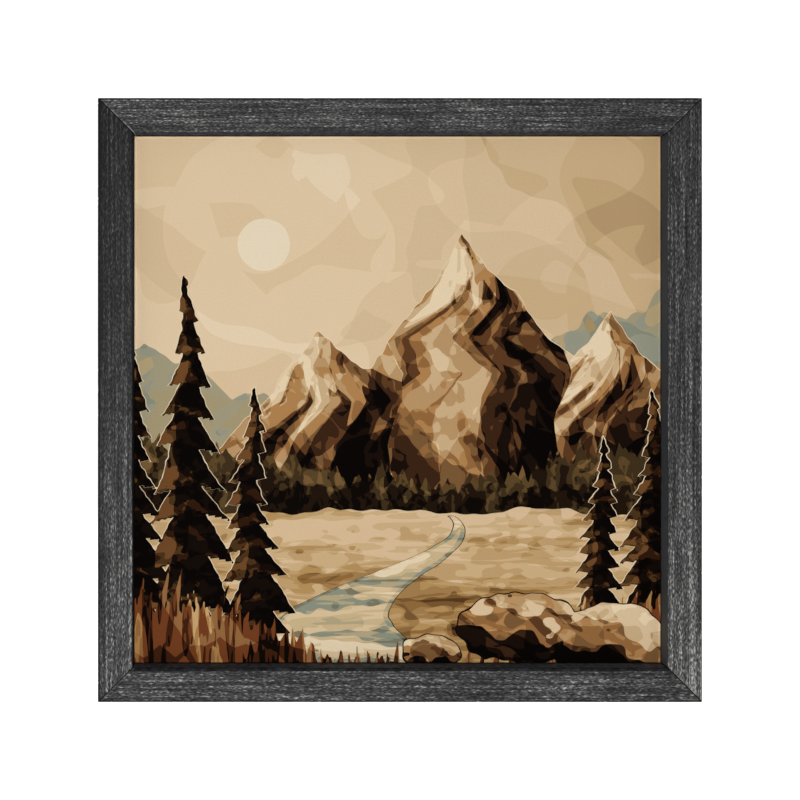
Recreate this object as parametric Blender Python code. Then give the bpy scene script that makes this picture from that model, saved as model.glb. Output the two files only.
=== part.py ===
"""A square canvas picture in a deep box-section wooden frame, ready to hang on a wall.

Four mitred moulding members hold a stretched canvas behind their front lip. The canvas is wrapped round
four mitred stretcher bars and is held in the rabbet by stepped steel clips and screws. A sawtooth hanger is
nailed to the top rail, and two bumpers keep the bottom rail off the wall.

Axes: +X to the viewer's right, +Z up, the picture faces -Y. The origin is in the wall plane, at the middle
notch of the sawtooth hanger. Depths are measured from the frame's front face towards the wall, and insets
from the frame's outer edge towards its middle.
"""

import math

import bmesh
import bpy

MM = 0.001

# Fit between separate pieces
CLEARANCE = 0.3 * MM
MITRE_SETBACK = 0.25 * MM  # along the member, which leaves the mitre joint about 0.35 mm open

# Moulding
OUTER = 508 * MM  # 20 in
FACE_WIDTH = 29.2 * MM
MOULDING_DEPTH = 33 * MM
LIP_DEPTH = 13 * MM
LIP_WIDTH = 5.2 * MM
OUTER_ARRIS = 2.2 * MM
SIGHT_ARRIS = 0.6 * MM
BACK_CHAMFER = 0.6 * MM

# Canvas and its stretcher
CANVAS_SIDE = 457 * MM  # 18 in
CLOTH = 0.6 * MM
FOLD_CHAMFER = 0.5 * MM
BAR_WIDTH = 38 * MM
BAR_DEPTH = 15 * MM
BAR_SLOPE = 2.6 * MM  # how far the bar's face falls back from the cloth at its inner edge
BAR_LAND = 5 * MM  # the flat edge that the cloth is drawn over
BAR_ARRIS = 1.5 * MM
TURNOVER = 24 * MM

# Stepped clips that hold the stretcher in the rabbet, and their screws
WALL_GAP = 5.6 * MM
CLIPS_PER_SIDE = 2
CLIP_SPACING = 260 * MM
CLIP_WIDTH = 14 * MM
CLIP_STEEL = 1.2 * MM
CLIP_OUTER_TAB = 14 * MM
CLIP_INNER_TAB = 14.5 * MM
CLIP_CORNER = 3.5 * MM
CLIP_HOLE_SETBACK = 6.8 * MM  # from the rabbet's edge to the screw
SCREW_SHANK = 1.5 * MM
SCREW_POINT = 2.6 * MM
SCREW_LENGTH = 12 * MM
SCREW_HEAD = 3.4 * MM
SCREW_RIM = 0.6 * MM
SCREW_DOME = 1.2 * MM
RECESS_LENGTH = 3.7 * MM
RECESS_WIDTH = 0.9 * MM
RECESS_FLOOR = 0.8 * MM  # above the head's underside

# Sawtooth hanger and its nails
HANGER_LENGTH = 64 * MM
HANGER_HEIGHT = 11 * MM
HANGER_STEEL = 1.0 * MM
HANGER_CORNER = 2.5 * MM
RAISED_HALF = 22 * MM
RAMP_LENGTH = 3 * MM
TOOTH_PITCH = 2.6 * MM
TOOTH_DEPTH = 1.6 * MM
NOTCHES_EACH_SIDE = 7
NAIL_OFFSET = 28.6 * MM
NAIL_SHANK = 0.75 * MM
NAIL_POINT = 1.5 * MM
NAIL_LENGTH = 9 * MM
NAIL_HEAD = 2.2 * MM
NAIL_HEAD_HEIGHT = 0.8 * MM
NAIL_HEAD_EDGE = 0.4 * MM

# Bumpers
BUMPER_RADIUS = 5 * MM
BUMPER_EDGE = 1.1 * MM
BUMPER_SETBACK = 30 * MM  # from the frame's outer edge, along the bottom rail

# Smoothness of round shapes
CORNER_SEGMENTS = 4
LATHE_STEPS = 20
SMOOTH_ANGLE = math.radians(32)

# Places worked out from the sizes above
RABBET_INSET = FACE_WIDTH - LIP_WIDTH
BACK_LAND_MIDDLE = RABBET_INSET / 2
SCREW_INSET = RABBET_INSET - CLIP_HOLE_SETBACK
CANVAS_FRONT = LIP_DEPTH + CLEARANCE
CANVAS_DEPTH = BAR_DEPTH + 2 * (CLOTH + CLEARANCE)
CANVAS_BACK = CANVAS_FRONT + CANVAS_DEPTH
BAR_FRONT = CANVAS_FRONT + CLOTH + CLEARANCE
BAR_SIDE = CANVAS_SIDE - 2 * (CLOTH + CLEARANCE)
WALL_DEPTH = MOULDING_DEPTH + WALL_GAP
NOTCH_INSET = BACK_LAND_MIDDLE + HANGER_HEIGHT / 2 - TOOTH_DEPTH
CENTRE_Z = NOTCH_INSET - OUTER / 2

# Each side of the square is built as the top one and turned about +Y.
SIDES = {"top": 0, "right": 90, "bottom": 180, "left": 270}
MEMBER_NAMES = {"top": "rail_top", "right": "stile_right", "bottom": "rail_bottom", "left": "stile_left"}
BAR_NAMES = {key: f"stretcher_{key}" for key in SIDES}
FACING_WALL = (-math.pi / 2, 0, 0)  # turns a lathe axis from +Z to +Y


def clear_scene():
    for obj in list(bpy.data.objects):
        bpy.data.objects.remove(obj)


def material(name, colour, roughness, metallic=0.0):
    """A Principled material with the finish of one real surface."""
    made = bpy.data.materials.new(name)
    made.use_nodes = True
    shader = made.node_tree.nodes["Principled BSDF"]
    shader.inputs["Base Color"].default_value = (*colour, 1.0)
    shader.inputs["Roughness"].default_value = roughness
    shader.inputs["Metallic"].default_value = metallic
    made.diffuse_color = (*colour, 1.0)
    return made


def side_empty(name, location, turn_deg, parent):
    """An empty that the pieces of one side are parented to, turned about +Y."""
    made = bpy.data.objects.new(name, None)
    made.location = location
    made.rotation_euler = (0, math.radians(turn_deg), 0)
    made.parent = parent
    bpy.context.scene.collection.objects.link(made)
    return made


def place(name, mesh, parent, location, rotation=(0, 0, 0)):
    made = bpy.data.objects.new(name, mesh)
    made.parent = parent
    made.location = location
    made.rotation_euler = rotation
    bpy.context.scene.collection.objects.link(made)
    return made


def place_part(name, mesh, parent, location, finish, rotation=(0, 0, 0)):
    """A visible piece: shaded smooth where its faces meet at a shallow angle."""
    mesh.materials.append(finish)
    mesh.shade_smooth()
    mesh.set_sharp_from_angle(angle=SMOOTH_ANGLE)
    return place(name, mesh, parent, location, rotation)


def place_cutter(name, mesh, parent, location):
    """A hidden shape on a lathe axis that faces the wall, for Booleans to take out of other pieces."""
    made = place(name, mesh, parent, location, FACING_WALL)
    made.hide_render = True
    made.display_type = "WIRE"
    return made


def cut(obj, cutter):
    boolean = obj.modifiers.new("cut_" + cutter.name, "BOOLEAN")
    boolean.operation = "DIFFERENCE"
    boolean.object = cutter


def arc(centre, radii, start_deg, end_deg, steps=CORNER_SEGMENTS):
    """Points along an ellipse's arc, both ends included."""
    points = []
    for i in range(steps + 1):
        angle = math.radians(start_deg + (end_deg - start_deg) * i / steps)
        points.append((centre[0] + radii[0] * math.cos(angle), centre[1] + radii[1] * math.sin(angle)))
    return points


def closed_mesh(name, bm):
    """The mesh of a bmesh, with its faces pointing out."""
    bmesh.ops.recalc_face_normals(bm, faces=bm.faces)
    mesh = bpy.data.meshes.new(name)
    bm.to_mesh(mesh)
    bm.free()
    return mesh


def loft(bm, loops):
    """Joins loops of points, each with as many points as the next, and caps the first and the last."""
    rings = [[bm.verts.new(point) for point in loop] for loop in loops]
    for first, second in zip(rings, rings[1:]):
        for i in range(len(first)):
            j = (i + 1) % len(first)
            bm.faces.new((first[i], first[j], second[j], second[i]))
    bm.faces.new(rings[0])
    bm.faces.new(rings[-1])


def round_plate_ends(bm, axis, radius):
    """Rounds a plate's corners: the edges through its thickness, Y, at its two ends along the axis."""
    ends = (min(v.co[axis] for v in bm.verts), max(v.co[axis] for v in bm.verts))
    chosen = []
    for edge in bm.edges:
        first, second = (v.co for v in edge.verts)
        at_end = any(first[axis] == end and second[axis] == end for end in ends)
        through = first.x == second.x and first.z == second.z
        if at_end and through:
            chosen.append(edge)
    bmesh.ops.bevel(bm, geom=chosen, offset=radius, segments=CORNER_SEGMENTS, profile=0.5, affect="EDGES")


def turned_mesh(name, profile):
    """A round piece about +Z, from (radius, height) points that start and end on the axis."""
    bm = bmesh.new()
    points = [bm.verts.new((radius, 0, height)) for radius, height in profile]
    edges = [bm.edges.new(pair) for pair in zip(points, points[1:])]
    bmesh.ops.spin(
        bm,
        geom=points + edges,
        cent=(0, 0, 0),
        axis=(0, 0, 1),
        angle=2 * math.pi,
        steps=LATHE_STEPS,
        use_merge=True,
    )
    bmesh.ops.remove_doubles(bm, verts=bm.verts, dist=0.001 * MM)
    return closed_mesh(name, bm)


def moulding_profile():
    """A flat face with eased arrises, a straight sight edge, and a rabbet behind the lip."""
    outer_arris = arc((OUTER_ARRIS, OUTER_ARRIS), (OUTER_ARRIS, OUTER_ARRIS), 180, 270)
    sight_arris = arc((FACE_WIDTH - SIGHT_ARRIS, SIGHT_ARRIS), (SIGHT_ARRIS, SIGHT_ARRIS), 270, 360)
    rabbet = [(FACE_WIDTH, LIP_DEPTH), (RABBET_INSET, LIP_DEPTH), (RABBET_INSET, MOULDING_DEPTH)]
    back = [(BACK_CHAMFER, MOULDING_DEPTH), (0, MOULDING_DEPTH - BACK_CHAMFER)]
    return outer_arris + sight_arris + rabbet + back


def bar_profile():
    """A stretcher bar: a land at the outer edge, from which the face slopes away from the cloth."""
    arris = arc((BAR_ARRIS, BAR_ARRIS), (BAR_ARRIS, BAR_ARRIS), 180, 270)
    return arris + [(BAR_LAND, 0), (BAR_WIDTH, BAR_SLOPE), (BAR_WIDTH, BAR_DEPTH), (0, BAR_DEPTH)]


def mitred_mesh(name, profile, side):
    """The top member of a square of the given side: a profile of (inset, depth) points between two mitres."""
    bm = bmesh.new()
    loops = []
    for direction in (-1, 1):
        reaches = [(side / 2 - inset, depth) for inset, depth in profile]
        loops.append([(direction * (reach - MITRE_SETBACK), depth, reach) for reach, depth in reaches])
    loft(bm, loops)
    return closed_mesh(name, bm)


def canvas_mesh():
    """A shallow tray of cloth, as square loops: the face, the four sides and the turnover behind the bars."""
    section = [
        (FOLD_CHAMFER, 0),
        (0, FOLD_CHAMFER),
        (0, CANVAS_DEPTH - FOLD_CHAMFER),
        (FOLD_CHAMFER, CANVAS_DEPTH),
        (TURNOVER, CANVAS_DEPTH),
        (TURNOVER, CANVAS_DEPTH - CLOTH),
        (CLOTH, CANVAS_DEPTH - CLOTH),
        (CLOTH, CLOTH),
    ]
    corners = ((-1, -1), (1, -1), (1, 1), (-1, 1))
    loops = []
    for inset, depth in section:
        reach = CANVAS_SIDE / 2 - inset
        loops.append([(x * reach, depth, z * reach) for x, z in corners])
    bm = bmesh.new()
    loft(bm, loops)
    return closed_mesh("canvas", bm)


def clip_mesh():
    """A stepped plate with a tab on the moulding and one on the canvas back. Its screw is at z = 0."""
    step_near = RABBET_INSET + CLEARANCE
    step_far = step_near + CLIP_STEEL
    outer_end = RABBET_INSET - CLIP_OUTER_TAB
    inner_end = step_far + CLIP_INNER_TAB
    high = MOULDING_DEPTH + CLEARANCE
    low = CANVAS_BACK + CLEARANCE
    section = [
        (outer_end, high),
        (step_near, high),
        (step_near, low),
        (inner_end, low),
        (inner_end, low + CLIP_STEEL),
        (step_far, low + CLIP_STEEL),
        (step_far, high + CLIP_STEEL),
        (outer_end, high + CLIP_STEEL),
    ]
    bm = bmesh.new()
    loops = []
    for x in (-CLIP_WIDTH / 2, CLIP_WIDTH / 2):
        loops.append([(x, depth - MOULDING_DEPTH, SCREW_INSET - inset) for inset, depth in section])
    loft(bm, loops)
    round_plate_ends(bm, 2, CLIP_CORNER)
    return closed_mesh("clip", bm)


def hanger_mesh():
    """Flat nailed ends and a raised middle. Notches between teeth are cut into its lower edge."""
    flat_from = RAISED_HALF + RAMP_LENGTH
    lower_edge = {x: 0 for x in (-HANGER_LENGTH / 2, -flat_from, -RAISED_HALF)}
    lower_edge.update({-x: 0 for x in lower_edge})
    for notch in range(-NOTCHES_EACH_SIDE, NOTCHES_EACH_SIDE + 1):
        middle = notch * TOOTH_PITCH
        lower_edge[middle] = TOOTH_DEPTH
        lower_edge[middle - TOOTH_PITCH / 2] = 0
    lower_edge[middle + TOOTH_PITCH / 2] = 0
    loops = []
    for x in sorted(lower_edge):
        rise = CLEARANCE if abs(x) >= flat_from else WALL_GAP - HANGER_STEEL
        bottom = lower_edge[x] - HANGER_HEIGHT / 2
        top = HANGER_HEIGHT / 2
        front, back = rise, rise + HANGER_STEEL
        loops.append([(x, front, bottom), (x, front, top), (x, back, top), (x, back, bottom)])
    bm = bmesh.new()
    loft(bm, loops)
    round_plate_ends(bm, 0, HANGER_CORNER)
    return closed_mesh("hanger", bm)


def screw_mesh():
    """A pan-head wood screw about +Z, with its head's underside at height 0."""
    dome = arc((0, SCREW_RIM), (SCREW_HEAD, SCREW_DOME), 90, 0)
    shank = [(SCREW_HEAD, 0), (SCREW_SHANK, 0), (SCREW_SHANK, SCREW_POINT - SCREW_LENGTH), (0, -SCREW_LENGTH)]
    return turned_mesh("screw", dome + shank)


def nail_mesh():
    """A flat-head nail about +Z, with its head's underside at height 0."""
    head = [
        (0, NAIL_HEAD_HEIGHT),
        (NAIL_HEAD - NAIL_HEAD_EDGE, NAIL_HEAD_HEIGHT),
        (NAIL_HEAD, NAIL_HEAD_HEIGHT - NAIL_HEAD_EDGE),
        (NAIL_HEAD, 0),
    ]
    shank = [(NAIL_SHANK, 0), (NAIL_SHANK, NAIL_POINT - NAIL_LENGTH), (0, -NAIL_LENGTH)]
    return turned_mesh("nail", head + shank)


def bumper_mesh():
    """A self-adhesive bumper about +Z, with the flat pad that meets the wall at height WALL_GAP."""
    edge_centre = (BUMPER_RADIUS - BUMPER_EDGE, WALL_GAP - BUMPER_EDGE)
    edge = arc(edge_centre, (BUMPER_EDGE, BUMPER_EDGE), 0, 90)
    return turned_mesh("bumper", [(0, CLEARANCE), (BUMPER_RADIUS, CLEARANCE), *edge, (0, WALL_GAP)])


def cross_recess_mesh():
    """A cross-shaped prism about +Z, for a driver's recess in a screw's head."""
    long, short = RECESS_LENGTH / 2, RECESS_WIDTH / 2
    outline = []
    for turn_x, turn_y in ((1, 0), (0, 1), (-1, 0), (0, -1)):
        for along, across in ((long, -short), (long, short), (short, short)):
            outline.append((along * turn_x - across * turn_y, along * turn_y + across * turn_x))
    bm = bmesh.new()
    loft(bm, [[(x, y, height) for x, y in outline] for height in (RECESS_FLOOR, WALL_GAP)])
    return closed_mesh("cross_recess", bm)


def stepped_hole_mesh(shank, depth):
    """A hole about +Z for a shank: wide through the steel, and close in the wood down to the depth."""
    in_wood = shank + CLEARANCE
    in_steel = in_wood + CLEARANCE
    step = CLEARANCE / 2
    profile = [(0, WALL_GAP), (in_steel, WALL_GAP), (in_steel, step), (in_wood, step), (in_wood, -depth)]
    return turned_mesh("stepped_hole", profile + [(0, -depth)])


def build_mitred_square(names, profile, side, sides, depth, finish):
    """Four mitred members of one profile, one under the empty of each side."""
    members = {}
    for key, name in names.items():
        mesh = mitred_mesh(name, profile, side)
        members[key] = place_part(name, mesh, sides[key], (0, depth, 0), finish)
    return members


def build_clips(sides, members, steel):
    """The clips of every side, each with its screw and the holes that the screw goes through."""
    z = OUTER / 2 - SCREW_INSET
    head_seat = MOULDING_DEPTH + CLIP_STEEL + 2 * CLEARANCE
    for key, side in sides.items():
        for number in range(1, CLIPS_PER_SIDE + 1):
            label = f"{key}_{number}"
            x = (number - (CLIPS_PER_SIDE + 1) / 2) * CLIP_SPACING
            on_wood, on_clip = (x, MOULDING_DEPTH, z), (x, head_seat, z)
            hole = place_cutter("hole_" + label, stepped_hole_mesh(SCREW_SHANK, SCREW_LENGTH), side, on_wood)
            clip = place_part("clip_" + label, clip_mesh(), side, on_wood, steel)
            cut(clip, hole)
            cut(members[key], hole)
            screw = place_part("screw_" + label, screw_mesh(), side, on_clip, steel, FACING_WALL)
            cut(screw, place_cutter("recess_" + label, cross_recess_mesh(), side, on_clip))


def build_hanger(side, rail, steel):
    """The sawtooth hanger on the top rail, its two nails and their holes."""
    z = OUTER / 2 - BACK_LAND_MIDDLE
    head_seat = MOULDING_DEPTH + HANGER_STEEL + 2 * CLEARANCE
    hanger = place_part("hanger", hanger_mesh(), side, (0, MOULDING_DEPTH, z), steel)
    for number, x in enumerate((-NAIL_OFFSET, NAIL_OFFSET), start=1):
        hole_mesh = stepped_hole_mesh(NAIL_SHANK, NAIL_LENGTH)
        hole = place_cutter(f"nail_hole_{number}", hole_mesh, side, (x, MOULDING_DEPTH, z))
        cut(hanger, hole)
        cut(rail, hole)
        place_part(f"hanger_nail_{number}", nail_mesh(), side, (x, head_seat, z), steel, FACING_WALL)


def build_bumpers(side, rubber):
    """A bumper near each end of the bottom rail. This side is turned over, so its +X is the viewer's left."""
    reach = OUTER / 2 - BUMPER_SETBACK
    z = OUTER / 2 - BACK_LAND_MIDDLE
    for name, x in (("bumper_left", reach), ("bumper_right", -reach)):
        place_part(name, bumper_mesh(), side, (x, MOULDING_DEPTH, z), rubber, FACING_WALL)


def main():
    clear_scene()
    black_wood = material("black_wood", (0.062, 0.061, 0.060), 0.62)
    pine = material("pine", (0.58, 0.42, 0.25), 0.7)
    printed_canvas = material("printed_canvas", (0.52, 0.40, 0.26), 0.8)
    steel = material("zinc_steel", (0.55, 0.55, 0.56), 0.38, 1.0)
    rubber = material("bumper_rubber", (0.035, 0.035, 0.036), 0.7)

    centre = side_empty("picture_centre", (0, -WALL_DEPTH, CENTRE_Z), 0, None)
    sides = {key: side_empty("side_" + key, (0, 0, 0), turn, centre) for key, turn in SIDES.items()}
    members = build_mitred_square(MEMBER_NAMES, moulding_profile(), OUTER, sides, 0, black_wood)
    build_mitred_square(BAR_NAMES, bar_profile(), BAR_SIDE, sides, BAR_FRONT, pine)
    place_part("canvas", canvas_mesh(), centre, (0, CANVAS_FRONT, 0), printed_canvas)
    build_clips(sides, members, steel)
    build_hanger(sides["top"], members["top"], steel)
    build_bumpers(sides["bottom"], rubber)


main()
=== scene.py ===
"""A square canvas picture in a charcoal box moulding: fine meshes, finishes, light and camera."""

import logging
import math
from collections.abc import Callable, Sequence
from dataclasses import dataclass, field
from enum import Enum

import bpy
import numpy as np
from bpy.types import ID, Material, Node, NodeTree, Object
from bpy.types import NodeSocket as Socket
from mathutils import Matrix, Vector


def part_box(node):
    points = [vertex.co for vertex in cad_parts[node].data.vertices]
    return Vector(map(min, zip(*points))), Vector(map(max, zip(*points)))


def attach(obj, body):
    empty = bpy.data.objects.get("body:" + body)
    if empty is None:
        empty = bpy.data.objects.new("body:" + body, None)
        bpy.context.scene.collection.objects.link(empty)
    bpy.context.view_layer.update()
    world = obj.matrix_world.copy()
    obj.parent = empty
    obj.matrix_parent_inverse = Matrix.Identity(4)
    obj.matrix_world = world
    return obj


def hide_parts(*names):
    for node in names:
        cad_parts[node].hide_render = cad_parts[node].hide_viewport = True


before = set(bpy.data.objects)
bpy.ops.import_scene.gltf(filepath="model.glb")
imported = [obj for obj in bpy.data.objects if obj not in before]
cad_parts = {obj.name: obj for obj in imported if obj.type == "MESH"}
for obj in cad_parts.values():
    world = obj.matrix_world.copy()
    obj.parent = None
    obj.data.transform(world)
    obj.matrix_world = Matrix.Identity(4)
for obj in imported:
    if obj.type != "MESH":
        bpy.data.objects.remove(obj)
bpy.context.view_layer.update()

MM = 0.001
BODY = "root"
BAKE_MAP = "OFBake"
NOISE_CELLS = 256
log = logging.getLogger("picture")

Array = np.ndarray
Pair = tuple[float, float]
Triple = tuple[float, float, float]
Colour = tuple[float, float, float, float]
Stops = tuple[tuple[float, str], ...]


class Side(Enum):
    """The four sides of the square, in the order in which a quarter turn about +Y meets them."""

    TOP = 0
    RIGHT = 1
    BOTTOM = 2
    LEFT = 3

    @property
    def label(self) -> str:
        """The side's name in small letters."""
        return self.name.lower()


# --- Numbers: noise, turning and closed surfaces ---


def smooth_step(x: Array, low: float, high: float) -> Array:
    """Rises from 0 at low to 1 at high along the cubic 3t^2 - 2t^3."""
    t = np.clip((x - low) / (high - low), 0, 1)
    return t * t * (3 - 2 * t)


def lattice(u: Array, v: Array, seed: int) -> tuple[Array, ...]:
    """Looks up seeded random values at the whole numbers round each point.

    Args:
        u: first coordinate, in cells.
        v: second coordinate, in cells.
        seed: number of the random table.

    Returns:
        The values at (0, 0), (1, 0), (0, 1) and (1, 1) of each point's cell, and its place in the cell.
    """
    table = np.random.default_rng(seed).random((NOISE_CELLS, NOISE_CELLS))
    iu, iv = np.floor(u).astype(int), np.floor(v).astype(int)
    corners = [table[(iu + i) % NOISE_CELLS, (iv + k) % NOISE_CELLS] for k in (0, 1) for i in (0, 1)]
    return (*corners, u - iu, v - iv)


def value_noise(u: Array, v: Array, seed: int) -> Array:
    """Random values from 0 to 1 at whole numbers, joined by the cubic step along u and along v."""
    a, b, c, d, f, g = lattice(u, v, seed)
    f, g = (t * t * (3 - 2 * t) for t in (f, g))
    return (a * (1 - f) + b * f) * (1 - g) + (c * (1 - f) + d * f) * g


def facet_noise(u: Array, v: Array, seed: int) -> Array:
    """Random values from 0 to 1 at whole numbers, joined by flat triangles: its outlines are straight."""
    a, b, c, d, f, g = lattice(u, v, seed)
    return np.where(f + g < 1, a + f * (b - a) + g * (c - a), d + (1 - f) * (c - d) + (1 - g) * (b - d))


def layered_noise(u: Array, v: Array, seed: int, layers: int = 3) -> Array:
    """Adds layers of value noise, each twice as fine and with half the weight of the one before.

    Args:
        u: first coordinate, in the coarsest layer's cells.
        v: second coordinate.
        seed: number of the first random table.
        layers: how many layers are added.

    Returns:
        Values from 0 to 1.
    """
    weights = 0.5 ** np.arange(layers)
    noises = (value_noise(u * 2**k + 17 * k, v * 2**k + 31 * k, seed + k) for k in range(layers))
    return sum(w * noise for w, noise in zip(weights, noises)) / weights.sum()


def turned(points: Array, side: Side, middle: Array) -> Array:
    """Turns points of the top side about the +Y axis through the picture's middle.

    Args:
        points: rows of x, y, z on the top side.
        side: the side to which they go.
        middle: x, y, z of the picture's middle.

    Returns:
        Rows of x, y, z on that side.
    """
    c, s = ((1, 0), (0, 1), (-1, 0), (0, -1))[side.value]
    x, z = points[..., 0] - middle[0], points[..., 2] - middle[2]
    return np.stack([middle[0] + c * x + s * z, points[..., 1], middle[2] - s * x + c * z], axis=-1)


@dataclass
class Surface:
    """Points, faces, bake places and point attributes of a mesh that is being worked out."""

    points: Array
    quads: Array
    triangles: Array = field(default_factory=lambda: np.empty((0, 3), int))
    quad_map: Array | None = None
    triangle_map: Array | None = None
    ends: list[list[int]] = field(default_factory=list)
    end_map: Array | None = None
    attributes: dict[str, Array] = field(default_factory=dict)

    def turned(self, side: Side, middle: Array) -> "Surface":
        """Turns a surface of the top side to another side."""
        self.points = turned(self.points, side, middle)
        return self

    def into_object(self, name: str, finish: Material, crease: float = 40) -> Object:
        """Makes the mesh and its object, which stays at the origin.

        Args:
            name: the piece's name.
            finish: its material.
            crease: angle in degrees above which an edge between faces is sharp.

        Returns:
            The new object.
        """
        mesh = bpy.data.meshes.new(name)
        faces = self.quads.tolist() + self.triangles.tolist() + self.ends
        mesh.from_pydata(self.points.tolist(), [], faces)
        mesh.polygons.foreach_set("use_smooth", np.ones(len(mesh.polygons), bool))
        mesh.set_sharp_from_angle(angle=math.radians(crease))
        maps = (self.quad_map, self.triangle_map, self.end_map)
        maps = [m.reshape(-1, 2) for m in maps if m is not None and len(m)]
        if maps:
            mesh.uv_layers.new(name=BAKE_MAP).data.foreach_set("uv", np.concatenate(maps).ravel())
        for key, values in self.attributes.items():
            kind, slot = ("FLOAT", "value") if values.ndim == 1 else ("FLOAT_VECTOR", "vector")
            data = mesh.attributes.new(key, kind, "POINT").data
            data.foreach_set(slot, values.astype(np.float32).ravel())
        mesh.materials.append(finish)
        mesh.validate()
        return linked(name, mesh)


def linked(name: str, data: ID) -> Object:
    """Makes the object of a mesh, a camera or a light and puts it in the scene."""
    obj = bpy.data.objects.new(name, data)
    bpy.context.scene.collection.objects.link(obj)
    return obj


def grid_quads(cells: int) -> Array:
    """Faces of a square grid whose points run row by row."""
    i, j = (m.ravel() for m in np.meshgrid(np.arange(cells), np.arange(cells)))
    first, ahead = j * (cells + 1) + i, cells + 1
    return np.stack([first, first + 1, first + ahead + 1, first + ahead], 1)


def wall_quads(rows: int, count: int) -> tuple[Array, Array, Array]:
    """Numbers the faces of a wall between closed rings of points.

    Args:
        rows: how many rings there are.
        count: points in each ring.

    Returns:
        The faces, the ring before each and its place round that ring.
    """
    s, m = (grid.ravel() for grid in np.meshgrid(np.arange(rows - 1), np.arange(count), indexing="ij"))
    ahead = (m + 1) % count
    faces = [s * count + m, s * count + ahead, (s + 1) * count + ahead, (s + 1) * count + m]
    return np.stack(faces, 1), s, m


def merged(surfaces: Sequence[Surface]) -> Surface:
    """Joins several surfaces into one, each keeping its own points."""
    starts = np.cumsum([0] + [len(s.points) for s in surfaces[:-1]])
    return Surface(
        np.concatenate([s.points for s in surfaces]),
        np.concatenate([s.quads + k for s, k in zip(surfaces, starts)]),
        np.concatenate([s.triangles + k for s, k in zip(surfaces, starts)]),
        attributes={
            key: np.concatenate([s.attributes[key] for s in surfaces]) for key in surfaces[0].attributes
        },
    )


def show(piece: Object, slot: str, *nodes: str) -> Object:
    """Lets a piece ride on the frame and hides the nodes that it stands for."""
    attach(piece, BODY)
    if nodes:
        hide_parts(*nodes)
    triangles = sum(len(p.vertices) - 2 for p in piece.data.polygons)
    log.info("%s: %d triangles, for %s", piece.name, triangles, ", ".join(nodes) or "no node")
    return piece


# --- Nodes: a short way to write finishes ---


def linear(code: str) -> Colour:
    """Turns a six-figure colour code, as seen on a screen, into linear red, green, blue and alpha."""
    parts = (int(code[k : k + 2], 16) / 255 for k in (0, 2, 4))
    return (*(c / 12.92 if c <= 0.04045 else ((c + 0.055) / 1.055) ** 2.4 for c in parts), 1.0)


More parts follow.
